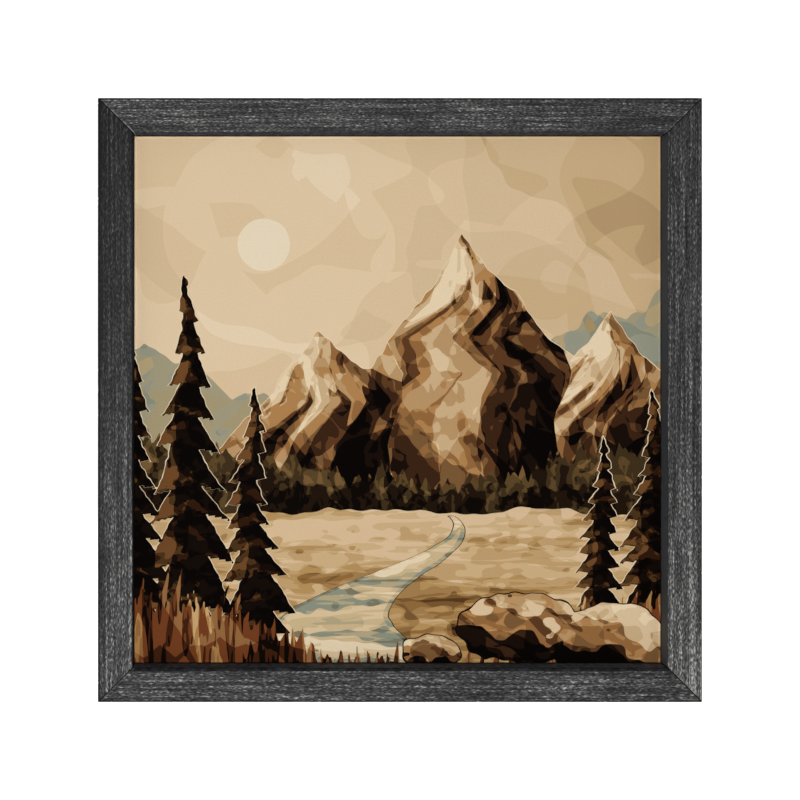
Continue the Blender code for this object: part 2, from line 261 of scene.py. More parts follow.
class NodeBoard:
    """A node tree with one short method for each kind of node that the finishes use."""

    def __init__(self, tree: NodeTree) -> None:
        """Keeps the tree."""
        self.tree = tree

    def add(self, kind: str, **settings: object) -> Node:
        """Adds a node of a kind and gives it its settings."""
        node = self.tree.nodes.new(kind)
        for key, value in settings.items():
            setattr(node, key, value)
        return node

    def feed(self, target: Socket, source: object) -> None:
        """Links a socket to another one, or gives it a plain value."""
        if isinstance(source, Socket):
            self.tree.links.new(source, target)
        else:
            target.default_value = source

    def calc(
        self, operation: str, a: object, b: object = 0.0, c: object = 0.0, clamp: bool = False
    ) -> Socket:
        """Adds a Math node.

        Args:
            operation: its operation.
            a: first input, a socket or a number.
            b: second input.
            c: third input.
            clamp: whether the result is kept from 0 to 1.

        Returns:
            Its output socket.
        """
        node = self.add("ShaderNodeMath", operation=operation, use_clamp=clamp)
        for target, source in zip(node.inputs, (a, b, c)):
            self.feed(target, source)
        return node.outputs[0]

    def blend(self, factor: object, a: object, b: object, mode: str = "MIX") -> Socket:
        """Mixes two colours by a factor."""
        node = self.add("ShaderNodeMix", data_type="RGBA", blend_type=mode)
        for index, source in ((0, factor), (6, a), (7, b)):
            self.feed(node.inputs[index], source)
        return node.outputs[2]

    def step(
        self, value: object, low: float, high: float, start: float = 0.0, end: float = 1.0
    ) -> Socket:
        """Carries a value from low..high to start..end along a smooth step."""
        node = self.add("ShaderNodeMapRange", interpolation_type="SMOOTHSTEP")
        for target, source in zip(node.inputs, (value, low, high, start, end)):
            self.feed(target, source)
        return node.outputs[0]

    def ramp(self, value: Socket, stops: Stops, mode: str = "LINEAR") -> Socket:
        """Adds a colour ramp.

        Args:
            value: socket from 0 to 1.
            stops: places and six-figure colour codes, in rising order.
            mode: LINEAR or EASE between the stops, or CONSTANT for flat steps.

        Returns:
            The colour socket.
        """
        node = self.add("ShaderNodeValToRGB")
        node.color_ramp.interpolation = mode
        elements = node.color_ramp.elements
        while len(elements) < len(stops):
            elements.new(1.0)
        for element, (place, code) in zip(elements, stops):
            element.position, element.color = place, linear(code)
        self.feed(node.inputs[0], value)
        return node.outputs[0]

    def noise(self, vector: Socket, scale: object, detail: float, twist: object = 0.0) -> Node:
        """Adds a noise texture whose first output is its value and second its colour."""
        node = self.add("ShaderNodeTexNoise")
        settings = {"Vector": vector, "Scale": scale, "Detail": detail, "Distortion": twist}
        for key, source in settings.items():
            self.feed(node.inputs[key], source)
        return node

    def vector(self, operation: str, a: object, b: object) -> Socket:
        """Adds a Vector Math node and returns its vector."""
        node = self.add("ShaderNodeVectorMath", operation=operation)
        self.feed(node.inputs[0], a)
        self.feed(node.inputs[1], b)
        return node.outputs[0]

    def attribute(self, name: str, output: str = "Fac") -> Socket:
        """Reads a point attribute of the piece."""
        return self.add("ShaderNodeAttribute", attribute_name=name).outputs[output]

    def place(self) -> Socket:
        """The point's place in the object's own metres."""
        return self.add("ShaderNodeTexCoord").outputs["Object"]

    def bump(self, height: Socket, distance: float, strength: float) -> Socket:
        """Adds a Bump node, with its height in metres per unit, and returns its normal."""
        node = self.add("ShaderNodeBump")
        for key, source in {"Distance": distance, "Strength": strength, "Height": height}.items():
            self.feed(node.inputs[key], source)
        return node.outputs[0]

    def grain(self, effects: "Effects", place: Socket, size: Triple) -> Socket:
        """Noise drawn out to a length and a width in metres, whose lines wander by a third distance."""
        along, across, wander = size
        return self.use(effects.grain, Vector=place, Along=along, Across=across, Wander=wander)["Value"]

    def use(self, group: NodeTree, **sources: object) -> dict[str, Socket]:
        """Places a node group, feeds its inputs and returns its outputs by name."""
        node = self.add("ShaderNodeGroup", node_tree=group)
        for key, source in sources.items():
            self.feed(node.inputs[key.replace("_", " ")], source)
        return {socket.name: socket for socket in node.outputs}


class EffectBoard(NodeBoard):
    """The board of a new node group with named inputs and outputs."""

    def __init__(self, name: str, inputs: dict[str, object], outputs: dict[str, str]) -> None:
        """Makes the group's sockets.

        Args:
            name: the group's name.
            inputs: default of each input: a number, or three for a vector.
            outputs: kind of each output, "Float", "Vector" or "Color".
        """
        super().__init__(bpy.data.node_groups.new(name, "ShaderNodeTree"))
        make = self.tree.interface.new_socket
        for key, default in inputs.items():
            kind = "Float" if isinstance(default, float) else "Vector"
            make(name=key, in_out="INPUT", socket_type=f"NodeSocket{kind}").default_value = default
        for key, kind in outputs.items():
            make(name=key, in_out="OUTPUT", socket_type=f"NodeSocket{kind}")
        self.inputs = self.add("NodeGroupInput").outputs
        self.results = self.add("NodeGroupOutput").inputs

    def give(self, **sources: Socket) -> NodeTree:
        """Feeds the group's outputs and returns its tree."""
        for key, source in sources.items():
            self.feed(self.results[key], source)
        return self.tree


def grain_effect() -> NodeTree:
    """Noise drawn out along the first coordinate, whose lines wander across by a slow second noise."""
    board = EffectBoard(
        "drawn_out_grain",
        {"Vector": (0.0, 0.0, 0.0), "Along": 0.02, "Across": 0.001, "Wander": 0.001},
        {"Value": "Float"},
    )
    along, across = (board.calc("DIVIDE", 1.0, board.inputs[key]) for key in ("Along", "Across"))
    sway = board.calc("SUBTRACT", board.noise(board.inputs["Vector"], 45.0, 1.0).outputs[0], 0.5)
    shift = board.add("ShaderNodeCombineXYZ")
    reach = board.calc("MULTIPLY", board.inputs["Wander"], 4.0)
    board.feed(shift.inputs[1], board.calc("MULTIPLY", sway, reach))
    scale = board.add("ShaderNodeCombineXYZ")
    for socket, source in zip(scale.inputs, (along, across, 1.0)):
        board.feed(socket, source)
    bent = board.vector("ADD", board.inputs["Vector"], shift.outputs[0])
    drawn = board.vector("MULTIPLY", bent, scale.outputs[0])
    return board.give(Value=board.noise(drawn, 1.0, 2.0, 0.25).outputs[0])


def weave_effect() -> NodeTree:
    """Plain weave: two sets of threads as the sines of both coordinates, each over the other in turn."""
    board = EffectBoard(
        "plain_weave", {"Vector": (0.0, 0.0, 0.0), "Pitch": 0.0005}, {"Height": "Float", "Slub": "Float"}
    )
    turns = board.calc("DIVIDE", math.pi, board.inputs["Pitch"])
    slub = board.noise(board.vector("MULTIPLY", board.inputs["Vector"], (700.0, 700.0, 700.0)), 1.0, 2.0)
    parts = board.add("ShaderNodeSeparateXYZ")
    uneven = board.vector("MULTIPLY", slub.outputs[1], (0.0002, 0.0002, 0.0))
    board.feed(parts.inputs[0], board.vector("ADD", board.inputs["Vector"], uneven))
    waves = [board.calc("SINE", board.calc("MULTIPLY", parts.outputs[k], turns)) for k in (0, 1)]
    over = board.calc("MULTIPLY", *waves)
    rounds = board.calc("ADD", board.calc("ABSOLUTE", waves[0]), board.calc("ABSOLUTE", waves[1]))
    height = board.calc("ADD", board.calc("MULTIPLY", over, 0.5), board.calc("MULTIPLY", rounds, 0.35))
    return board.give(Height=height, Slub=slub.outputs[0])


def blotch_effect() -> NodeTree:
    """Soft uneven patches of handling and dust: two noises of one size, one eight times finer."""
    board = EffectBoard("dust_and_handling", {"Vector": (0.0, 0.0, 0.0), "Size": 0.03}, {"Mask": "Float"})
    scale = board.calc("DIVIDE", 1.0, board.inputs["Size"])
    broad = board.noise(board.inputs["Vector"], scale, 3.0).outputs[0]
    fine = board.noise(board.inputs["Vector"], board.calc("MULTIPLY", scale, 8.0), 2.0).outputs[0]
    both = board.calc("ADD", board.calc("MULTIPLY", broad, 0.7), board.calc("MULTIPLY", fine, 0.3))
    return board.give(Mask=board.step(both, 0.42, 0.66))


def dab_effect() -> NodeTree:
    """Flat dabs with smooth outlines: the signs of two bent noises, the second smaller and weaker."""
    board = EffectBoard(
        "flat_dabs", {"Vector": (0.0, 0.0, 0.0), "Scale": (30.0, 30.0, 1.0), "Bend": 0.6}, {"Tone": "Float"}
    )
    place = board.vector("MULTIPLY", board.inputs["Vector"], board.inputs["Scale"])
    total: object = 0.0
    for size, weight in ((0.7, 0.6), (1.6, 0.4)):
        noise = board.noise(place, size, 0.0, board.inputs["Bend"])
        above = board.calc("SUBTRACT", board.calc("GREATER_THAN", noise.outputs[0], 0.5), 0.5)
        total = board.calc("MULTIPLY_ADD", above, weight * 2, total)
    return board.give(Tone=total)


class Effects:
    """The shared node groups, each made once."""

    def __init__(self) -> None:
        """Makes every group."""
        self.grain = grain_effect()
        self.weave = weave_effect()
        self.blotch = blotch_effect()
        self.dabs = dab_effect()


class Finish:
    """A new material with a Principled shader and the board of its nodes."""

    def __init__(self, name: str) -> None:
        """Makes the material.

        Args:
            name: the finish's name.
        """
        self.material = bpy.data.materials.new(name)
        self.material.use_nodes = True
        self.board = NodeBoard(self.material.node_tree)
        self.shader = next(n for n in self.board.tree.nodes if n.type == "BSDF_PRINCIPLED")

    def set(self, **sources: object) -> Material:
        """Feeds the shader's sockets, where an underscore stands for a space, and returns the material."""
        for key, source in sources.items():
            self.board.feed(self.shader.inputs[key.replace("_", " ")], source)
        return self.material


@dataclass(frozen=True)
class CharcoalPaint:
    """Charcoal paint with grey dry-brushed along the grain, a plain dark lip whose tone and tint are
    painted shade and light, a painted shadow in the mitre joints, and bare wood behind.

    Spots, lanes and patches are noises of a length and a width. The tone is the weighted sum of spots,
    lanes and the piece's own ridges, plus what the brush left and the painted shade by the outer arris.
    """

    specular: float = 0.16
    roughness: float = 0.62
    lip_dullness: float = 0.33
    tones: Stops = (
        (0.27, "131313"), (0.37, "232323"), (0.445, "343434"), (0.52, "484848"),
        (0.59, "676766"), (0.65, "979795"), (0.74, "d2d2cf"),
    )  # fmt: skip
    plain: Stops = (
        (0.05, "08080a"), (0.30, "1d1e20"), (0.45, "2c2e30"), (0.60, "393b3e"), (0.90, "525457")
    )  # fmt: skip
    wood: Stops = ((0.28, "a5835c"), (0.5, "bb9a70"), (0.72, "ccb08a"))
    spot: Triple = (2.7 * MM, 0.86 * MM, 0.2 * MM)
    lane: Triple = (90 * MM, 1.1 * MM, 0.3 * MM)
    patch: Triple = (28 * MM, 7 * MM, 1 * MM)
    fibre: Triple = (50 * MM, 1.6 * MM, 3 * MM)
    weights: Triple = (0.64, 0.19, 0.28)
    patchiness: float = 0.14
    cover: float = -0.070
    joint_shadow: Pair = (0.45 * MM, 0.8 * MM)
    worn_from: Pair = (0.7 * MM, 1.1 * MM)
    worn_to: Pair = (1.5 * MM, 2.3 * MM)
    break_size: float = 12 * MM
    relief: float = 0.16 * MM

    def make(self, effects: Effects) -> Material:
        """Builds the material.

        Args:
            effects: the shared node groups.

        Returns:
            The material, which reads grain, ridge, brushed, shade, cool, smooth, bare, mitre and worn from
            the piece.
        """
        finish = Finish("charcoal_dry_brush")
        b = finish.board
        grain = b.attribute("grain", "Vector")
        spot, lane, patch = (b.grain(effects, grain, size) for size in (self.spot, self.lane, self.patch))
        noises = b.calc("MULTIPLY_ADD", spot, self.weights[0], b.calc("MULTIPLY", lane, self.weights[1]))
        mixed = b.calc("MULTIPLY_ADD", b.attribute("ridge"), self.weights[2], noises)
        uneven = b.calc("SUBTRACT", patch, 0.5)
        cover = b.calc("MULTIPLY_ADD", uneven, self.patchiness, b.attribute("brushed"))
        tone = b.calc("ADD", mixed, b.calc("ADD", cover, self.cover))
        # The lip's plain paint: its tone per side is painted shade and light, and near-black at its inner
        # end as a painted shadow.
        lip = b.ramp(b.calc("ADD", b.noise(grain, 220.0, 3.0).outputs[0], b.attribute("shade")), self.plain)
        # A blue tint per side cancels the warm light that the picture bounces onto the lip.
        lip = b.blend(b.attribute("cool"), lip, linear("7fb0ff"), "MULTIPLY")
        paint = b.blend(b.attribute("smooth"), b.ramp(tone, self.tones), lip)
        mitre = b.attribute("mitre")
        # A pale line beside the mitre, broken up by noise.
        breaks = b.step(b.use(effects.blotch, Vector=grain, Size=self.break_size)["Mask"], 0.2, 0.6)
        line = b.calc("MULTIPLY", b.step(mitre, *self.worn_from), b.step(mitre, *self.worn_to, 1.0, 0.0))
        worn = b.calc("MULTIPLY", b.calc("MULTIPLY", line, breaks), b.attribute("worn"))
        paint = b.blend(worn, paint, linear("8a8b8b"))
        # A near-black painted shadow along the mitre joint, as in a deep gap.
        paint = b.blend(b.step(mitre, *self.joint_shadow, 1.0, 0.0), paint, linear("0c0c0d"))
        wood = b.ramp(b.grain(effects, grain, self.fibre), self.wood)
        spray = b.calc("SUBTRACT", b.noise(grain, 900.0, 2.0).outputs[0], 0.5)
        bare = b.step(b.calc("MULTIPLY_ADD", spray, 0.9, b.attribute("bare")), 0.42, 0.58)
        gloss = b.calc("MULTIPLY_ADD", b.calc("SUBTRACT", tone, 0.5), 0.25, self.roughness)
        gloss = b.calc("MULTIPLY_ADD", b.attribute("smooth"), self.lip_dullness, gloss)
        colour, rough = b.blend(bare, paint, wood), b.calc("ADD", gloss, 0.0, clamp=True)
        height = b.calc("MULTIPLY_ADD", spot, 0.6, b.calc("MULTIPLY", lane, 0.4))
        normal = b.bump(height, self.relief, 0.8)
        return finish.set(
            Base_Color=colour, Roughness=rough, Specular_IOR_Level=self.specular, Normal=normal
        )


@dataclass(frozen=True)
class PineWood:
    """Planed pine: pale rings drawn out along the bar, darker late wood, pores and a few knots."""

    roughness: float = 0.68
    ring: Triple = (260 * MM, 4 * MM, 4 * MM)
    fibre: Triple = (12 * MM, 0.3 * MM, 0.4 * MM)
    ring_turns: float = 21.0
    tones: Stops = ((0.0, "c79a63"), (0.35, "d9b582"), (0.75, "e6c99b"), (1.0, "ecd3aa"))
    knots_per_metre: Triple = (9.0, 24.0, 3.0)

    def make(self, effects: Effects) -> Material:
        """Builds the material.

        Args:
            effects: the shared node groups.

        Returns:
            The material, which reads grain from the piece.
        """
        finish = Finish("planed_pine")
        b = finish.board
        grain = b.attribute("grain", "Vector")
        rings, fibre = (b.grain(effects, grain, size) for size in (self.ring, self.fibre))
        late = b.calc("ABSOLUTE", b.calc("SINE", b.calc("MULTIPLY", rings, self.ring_turns)))
        base = b.ramp(late, self.tones)
        tint = b.ramp(fibre, ((0.3, "b98d58"), (0.6, "f2dcb6")))
        base = b.blend(0.28, base, tint, "MULTIPLY")
        knot_place = b.vector("MULTIPLY", grain, self.knots_per_metre)
        knots = b.add("ShaderNodeTexVoronoi")
        b.feed(knots.inputs["Vector"], knot_place)
        knot = b.step(knots.outputs["Distance"], 0.07, 0.16, 1.0, 0.0)
        base = b.blend(b.calc("MULTIPLY", knot, 0.75), base, linear("8a5a30"))
        dust = b.use(effects.blotch, Vector=grain, Size=50 * MM)["Mask"]
        base = b.blend(b.calc("MULTIPLY", dust, 0.18), base, linear("a58a66"))
        return finish.set(
            Base_Color=base,
            Roughness=b.calc("MULTIPLY_ADD", fibre, 0.15, self.roughness - 0.08),
            Specular_IOR_Level=0.3,
            Normal=b.bump(b.calc("ADD", fibre, b.calc("MULTIPLY", late, 0.4)), 0.12 * MM, 0.7),
        )


@dataclass(frozen=True)
class ZincSteel:
    """Bright zinc plate on stamped steel: fine draw lines, faint spangle and dull patches of handling."""

    name: str = "zinc_plate"
    pale: str = "c9cbcc"
    dull: str = "9b9d9f"
    roughness: float = 0.34
    draw_line: Triple = (12 * MM, 0.12 * MM, 0.0)
    line_depth: float = 0.02 * MM

    def make(self, effects: Effects) -> Material:
        """Builds the material.

        Args:
            effects: the shared node groups.

        Returns:
            The material, which reads the object's own metres.
        """
        finish = Finish(self.name)
        b = finish.board
        place = b.place()
        lines = b.grain(effects, place, self.draw_line)
        dull = b.use(effects.blotch, Vector=place, Size=6 * MM)["Mask"]
        spangle = b.add("ShaderNodeTexVoronoi")
        b.feed(spangle.inputs["Vector"], b.vector("MULTIPLY", place, (500.0, 500.0, 500.0)))
        split = b.add("ShaderNodeSeparateXYZ")
        b.feed(split.inputs[0], spangle.outputs["Color"])
        colour = b.blend(dull, linear(self.pale), linear(self.dull))
        colour = b.blend(b.calc("MULTIPLY", split.outputs[0], 0.14), colour, linear("7e8184"))
        rough = b.calc("MULTIPLY_ADD", lines, 0.12, self.roughness - 0.06)
        rough = b.calc("MULTIPLY_ADD", dull, 0.16, rough)
        normal = b.bump(lines, self.line_depth, 0.6)
        return finish.set(Base_Color=colour, Metallic=1.0, Roughness=rough, Normal=normal)


@dataclass(frozen=True)
class BumperRubber:
    """Soft matt black rubber with a bloom of pale dust."""

    def make(self, effects: Effects) -> Material:
        """Builds the material from the shared node groups."""
        finish = Finish("soft_rubber")
        b = finish.board
        place = b.place()
        dust = b.use(effects.blotch, Vector=place, Size=4 * MM)["Mask"]
        pits = b.noise(place, 2600.0, 2.0).outputs[0]
        colour = b.blend(b.calc("MULTIPLY", dust, 0.35), linear("232325"), linear("5b5853"))
        rough = b.calc("MULTIPLY_ADD", dust, 0.12, 0.66)
        return finish.set(
            Base_Color=colour, Roughness=rough, Specular_IOR_Level=0.35, Normal=b.bump(pits, 0.06 * MM, 0.5)
        )


@dataclass(frozen=True)
class StudioFloor:
    """Seamless white studio floor with the faintest mottle."""

    def make(self) -> Material:
        """Builds the material."""
        finish = Finish("studio_floor")
        b = finish.board
        mottle = b.ramp(b.noise(b.place(), 3.0, 2.0).outputs[0], ((0.3, "fafafa"), (0.7, "ffffff")))
        seen = b.add("ShaderNodeLightPath").outputs["Is Camera Ray"]
        glow = b.calc("MULTIPLY", seen, 0.95)
        return finish.set(
            Base_Color=mottle,
            Roughness=0.9,
            Specular_IOR_Level=0.0,
            Emission_Color=(1.0, 1.0, 1.0, 1.0),
            Emission_Strength=glow,
        )


# --- Sticks: mitred members swept from a cross-section ---


@dataclass
class Section:
    """A closed cross-section whose square corners are rounded, sampled at a pitch for each face.

    A corner is (inset from the outer edge, world y). A rounded corner's points are its arc's middle
    minus the radius times cos and sin of a quarter turn along the two edges that meet there.
    """

    corners: Sequence[Pair]
    radii: Sequence[float]
    pitches: Sequence[float]
    arc_steps: Sequence[int]

    def sample(self) -> tuple[Array, Array, Array]:
        """Works out the loop.

        Returns:
            The points, their outward normals and for each point its corner number, or number + 0.5 on
            the flat that follows the corner.
        """
        corners, count = np.array(self.corners, float), len(self.corners)
        points, labels = [], []
        for k in range(count):
            here, back, ahead = corners[k], corners[k - 1], corners[(k + 1) % count]
            to_back, to_ahead = ((p - here) / np.linalg.norm(p - here) for p in (back, ahead))
            radius, turn = self.radii[k], np.linspace(0, math.pi / 2, self.arc_steps[k] + 1)[:, None]
            middle = here + radius * (to_back + to_ahead)
            arc = middle - radius * (to_ahead * np.cos(turn) + to_back * np.sin(turn))
            arc = arc if radius else here[None]
            start = here + radius * to_ahead
            end = ahead - self.radii[(k + 1) % count] * to_ahead
            steps = max(1, round(float(np.linalg.norm(end - start)) / self.pitches[k]))
            flat = start + (end - start) * np.linspace(0, 1, steps + 1)[1:-1, None]
            points += [arc, flat]
            labels += [np.full(len(arc), float(k)), np.full(len(flat), k + 0.5)]
        loop, label = np.concatenate(points), np.concatenate(labels)
        along = np.roll(loop, -1, 0) - np.roll(loop, 1, 0)
        normal = np.stack([along[:, 1], -along[:, 0]], 1) / np.linalg.norm(along, axis=1)[:, None]
        return loop, normal, label


@dataclass(frozen=True)
class StickMap:
    """Where a member lies in the unit square: two strips and, above them, its end faces."""

    margin: float = 0.01
    length: float = 0.98
    height: float = 0.47
    upper: float = 0.50
    clear: float = 0.002
    end: Pair = (0.02, 0.978)
    end_pitch: float = 0.1
    end_scale: float = 0.5


@dataclass
class Stick:
    """One mitred member: its section carried along x, cut square to its diagonal at both ends.

    At station s and inset a the point's x is (2s - 1) times (half the side - a - setback).
    """

    section: Section
    half_side: float
    setback: float
    stations: Array
    layout: StickMap = StickMap()

    def sweep(
        self, relief: Callable[..., Array], edge_ease: float, top: float
    ) -> tuple[Surface, dict[str, Array]]:
        """Carries the section along the member.

        Args:
            relief: gives the inward depth for arrays of x, distance round the section and labels.
            edge_ease: how far the visible edges at the mitre are eased.
            top: world z of the outer edge.

        Returns:
            The surface, open at its ends, and the fields x, inset, y, round, label and mitre at its points.
        """
        loop, normal, label = self.section.sample()
        steps = np.linalg.norm(np.roll(loop, -1, 0) - loop, axis=1)
        distance = np.concatenate([[0], np.cumsum(steps)])
        ends = 2 * self.stations[:, None] - 1
        half = self.half_side - loop[None, :, 0] - self.setback
        x0, mitre = ends * half, (1 - np.abs(ends)) * half
        section = {"inset": loop[:, 0], "y": loop[:, 1], "round": distance[:-1], "label": label}
        wide = {key: np.broadcast_to(values, x0.shape) for key, values in section.items()}
        depth = relief(x0, wide["round"], wide["label"]) + np.maximum(0, edge_ease - mitre)
        place = loop[None] - normal[None] * depth[..., None]
        x = ends * (self.half_side - place[..., 0] - self.setback)
        points = np.stack([x, place[..., 1], top - place[..., 0]], axis=-1).reshape(-1, 3)
        quads, s, m = wall_quads(len(self.stations), len(loop))
        fields = {key: values.ravel() for key, values in (wide | {"x": x0, "mitre": mitre}).items()}
        return Surface(points, quads, quad_map=self.bake_map(s, m, distance)), fields

    def bake_map(self, s: Array, m: Array, distance: Array) -> Array:
        """Lays the member's two halves in the unit square as two strips, one above the other."""
        lay = self.layout
        scale = min(lay.length / self.half_side, lay.height / distance[-1])
        upper = s >= len(self.stations) // 2
        corners = []
        for ds, dm in ((0, 0), (0, 1), (1, 1), (1, 0)):
            u = (2 * self.stations[s + ds] - 1) * (self.half_side - self.setback)
            u = np.where(upper, u, u + self.half_side) * scale + lay.margin
            v = distance[m + dm] * scale + np.where(upper, lay.upper, lay.margin)
            corners.append(np.stack([np.clip(u, lay.clear, 1 - lay.clear), v], 1))
        return np.stack(corners, 1)

    def closed(self, surface: Surface, side: Side, middle: Array) -> Surface:
        """Turns a swept wall to its side and closes both ends.

        Args:
            surface: the wall, on the top side.
            side: where the member goes.
            middle: the picture's middle.

        Returns:
            The same surface, with its two end faces.
        """
        surface.turned(side, middle)
        count = len(surface.points) // len(self.stations)
        last = len(surface.points) - count
        surface.ends = [[0, *range(count - 1, 0, -1)], [last + count - 1, *range(last, last + count - 1)]]
        maps = [self.end_map(surface.points[end], number) for number, end in enumerate(surface.ends)]
        surface.end_map = np.concatenate(maps)
        return surface

    def end_map(self, points: Array, number: int) -> Array:
        """Lays an end face in a small corner above the two strips."""
        lay, spread = self.layout, points - points.min(0)
        across = np.hypot(spread[:, 0], spread[:, 2]) * lay.end_scale
        u = lay.end[0] + lay.end_pitch * number + across
        return np.stack([u, lay.end[1] + spread[:, 1] * lay.end_scale], 1)


def mitre_stations(side: float, pitch: float) -> Array:
    """Stations from 0 to 1, even along the middle and closer at the two mitres."""
    near = np.array([0, 0.12, 0.25, 0.38, 0.55, 0.8, 1.2]) * MM / side
    middle = np.linspace(near[-1], 1 - near[-1], round(side / pitch))
    return np.concatenate([near[:-1], middle, 1 - near[-2::-1]])


class Zone:
    """Labels round the moulding's section: whole numbers are corners, halves the flats that follow."""

    BACK, SIDE, ARRIS, FACE, SIGHT, WALL_END, REBATE = 0, 0.5, 1, 1.5, 2, 3, 3.5


@dataclass(frozen=True)
class MemberLook:
    """One member's node and paint. Values for its two ends run clockwise round the frame.

    The dry brush leaves more or less along the member, by knots of (x, extra tone). By the outer arris the
    tone is darkened as painted shade, in a narrow and a broad strip, and the sight arris gets dry brush
    with a painted edge highlight. A plain band of some mm may follow the face's inner edge, toned as
    painted shade that matches the lip in shadow. The lip's tone at both ends is painted shade and light,
    different on each side, with a blue tint that cancels the warm light bounced from the picture. Between
    two parts of its depth it turns dark as a painted shadow beside the picture. A pale line by each mitre
    is given for both ends.
    """

    node: str
    seed: int
    brushed: tuple[Pair, ...]
    arris_painted_shade: Pair
    lip_painted_shade: float
    lip_painted_shadow: Pair
    lip_bounce_tint: Pair
    stretch: float = 0.85
    sway: float = 0.5 * MM
    sight_coat_and_highlight: float = 0.0
    band: Pair = (0.0, 0.0)
    band_painted_shade: float = 0.0
    worn_ends: Pair = (0.0, 0.0)


# Each side's look. The lip's tone, tint and dark end and the arris's darkening are painted shade and light,
# set for each side.
MEMBERS = {
    Side.TOP: MemberLook(
        "rail_top", 11, ((-0.25, 0.020), (-0.14, 0.016), (-0.09, -0.006), (0.12, 0.0), (0.22, -0.026)),
        (-0.46, 0.0), 0.20, (0.74, 0.86), (0.3, 0.2), 1.0, 2.6 * MM,
        band=(0.0, 1.6), band_painted_shade=0.12, worn_ends=(1.0, 1.0),
    ),
    Side.RIGHT: MemberLook(
        "stile_right", 23, ((-0.25, -0.050), (-0.02, -0.014), (0.06, 0.004), (0.12, 0.03), (0.25, 0.085)),
        (-0.06, 0.0), 0.50, (0.82, 0.94), (0.35, 0.0), sight_coat_and_highlight=0.035, worn_ends=(0.0, 1.0),
    ),
    Side.BOTTOM: MemberLook(
        "rail_bottom", 37, ((-0.25, -0.006), (-0.10, -0.012), (0.05, 0.006), (0.25, -0.006)),
        (-0.40, 0.0), 0.29, (0.79, 0.89), (0.0, 0.05), 0.88, 0.6 * MM, 0.035,
        band=(2.7, 2.7), band_painted_shade=-0.20, worn_ends=(0.0, 1.0),
    ),
    Side.LEFT: MemberLook(
        "stile_left", 53, ((-0.25, 0.052), (-0.10, 0.012), (0.0, -0.045), (0.10, -0.080), (0.25, -0.110)),
        (-0.26, -0.08), -0.11, (0.58, 0.72), (0.3, 1.0), sight_coat_and_highlight=-0.01,
    ),
}  # fmt: skip


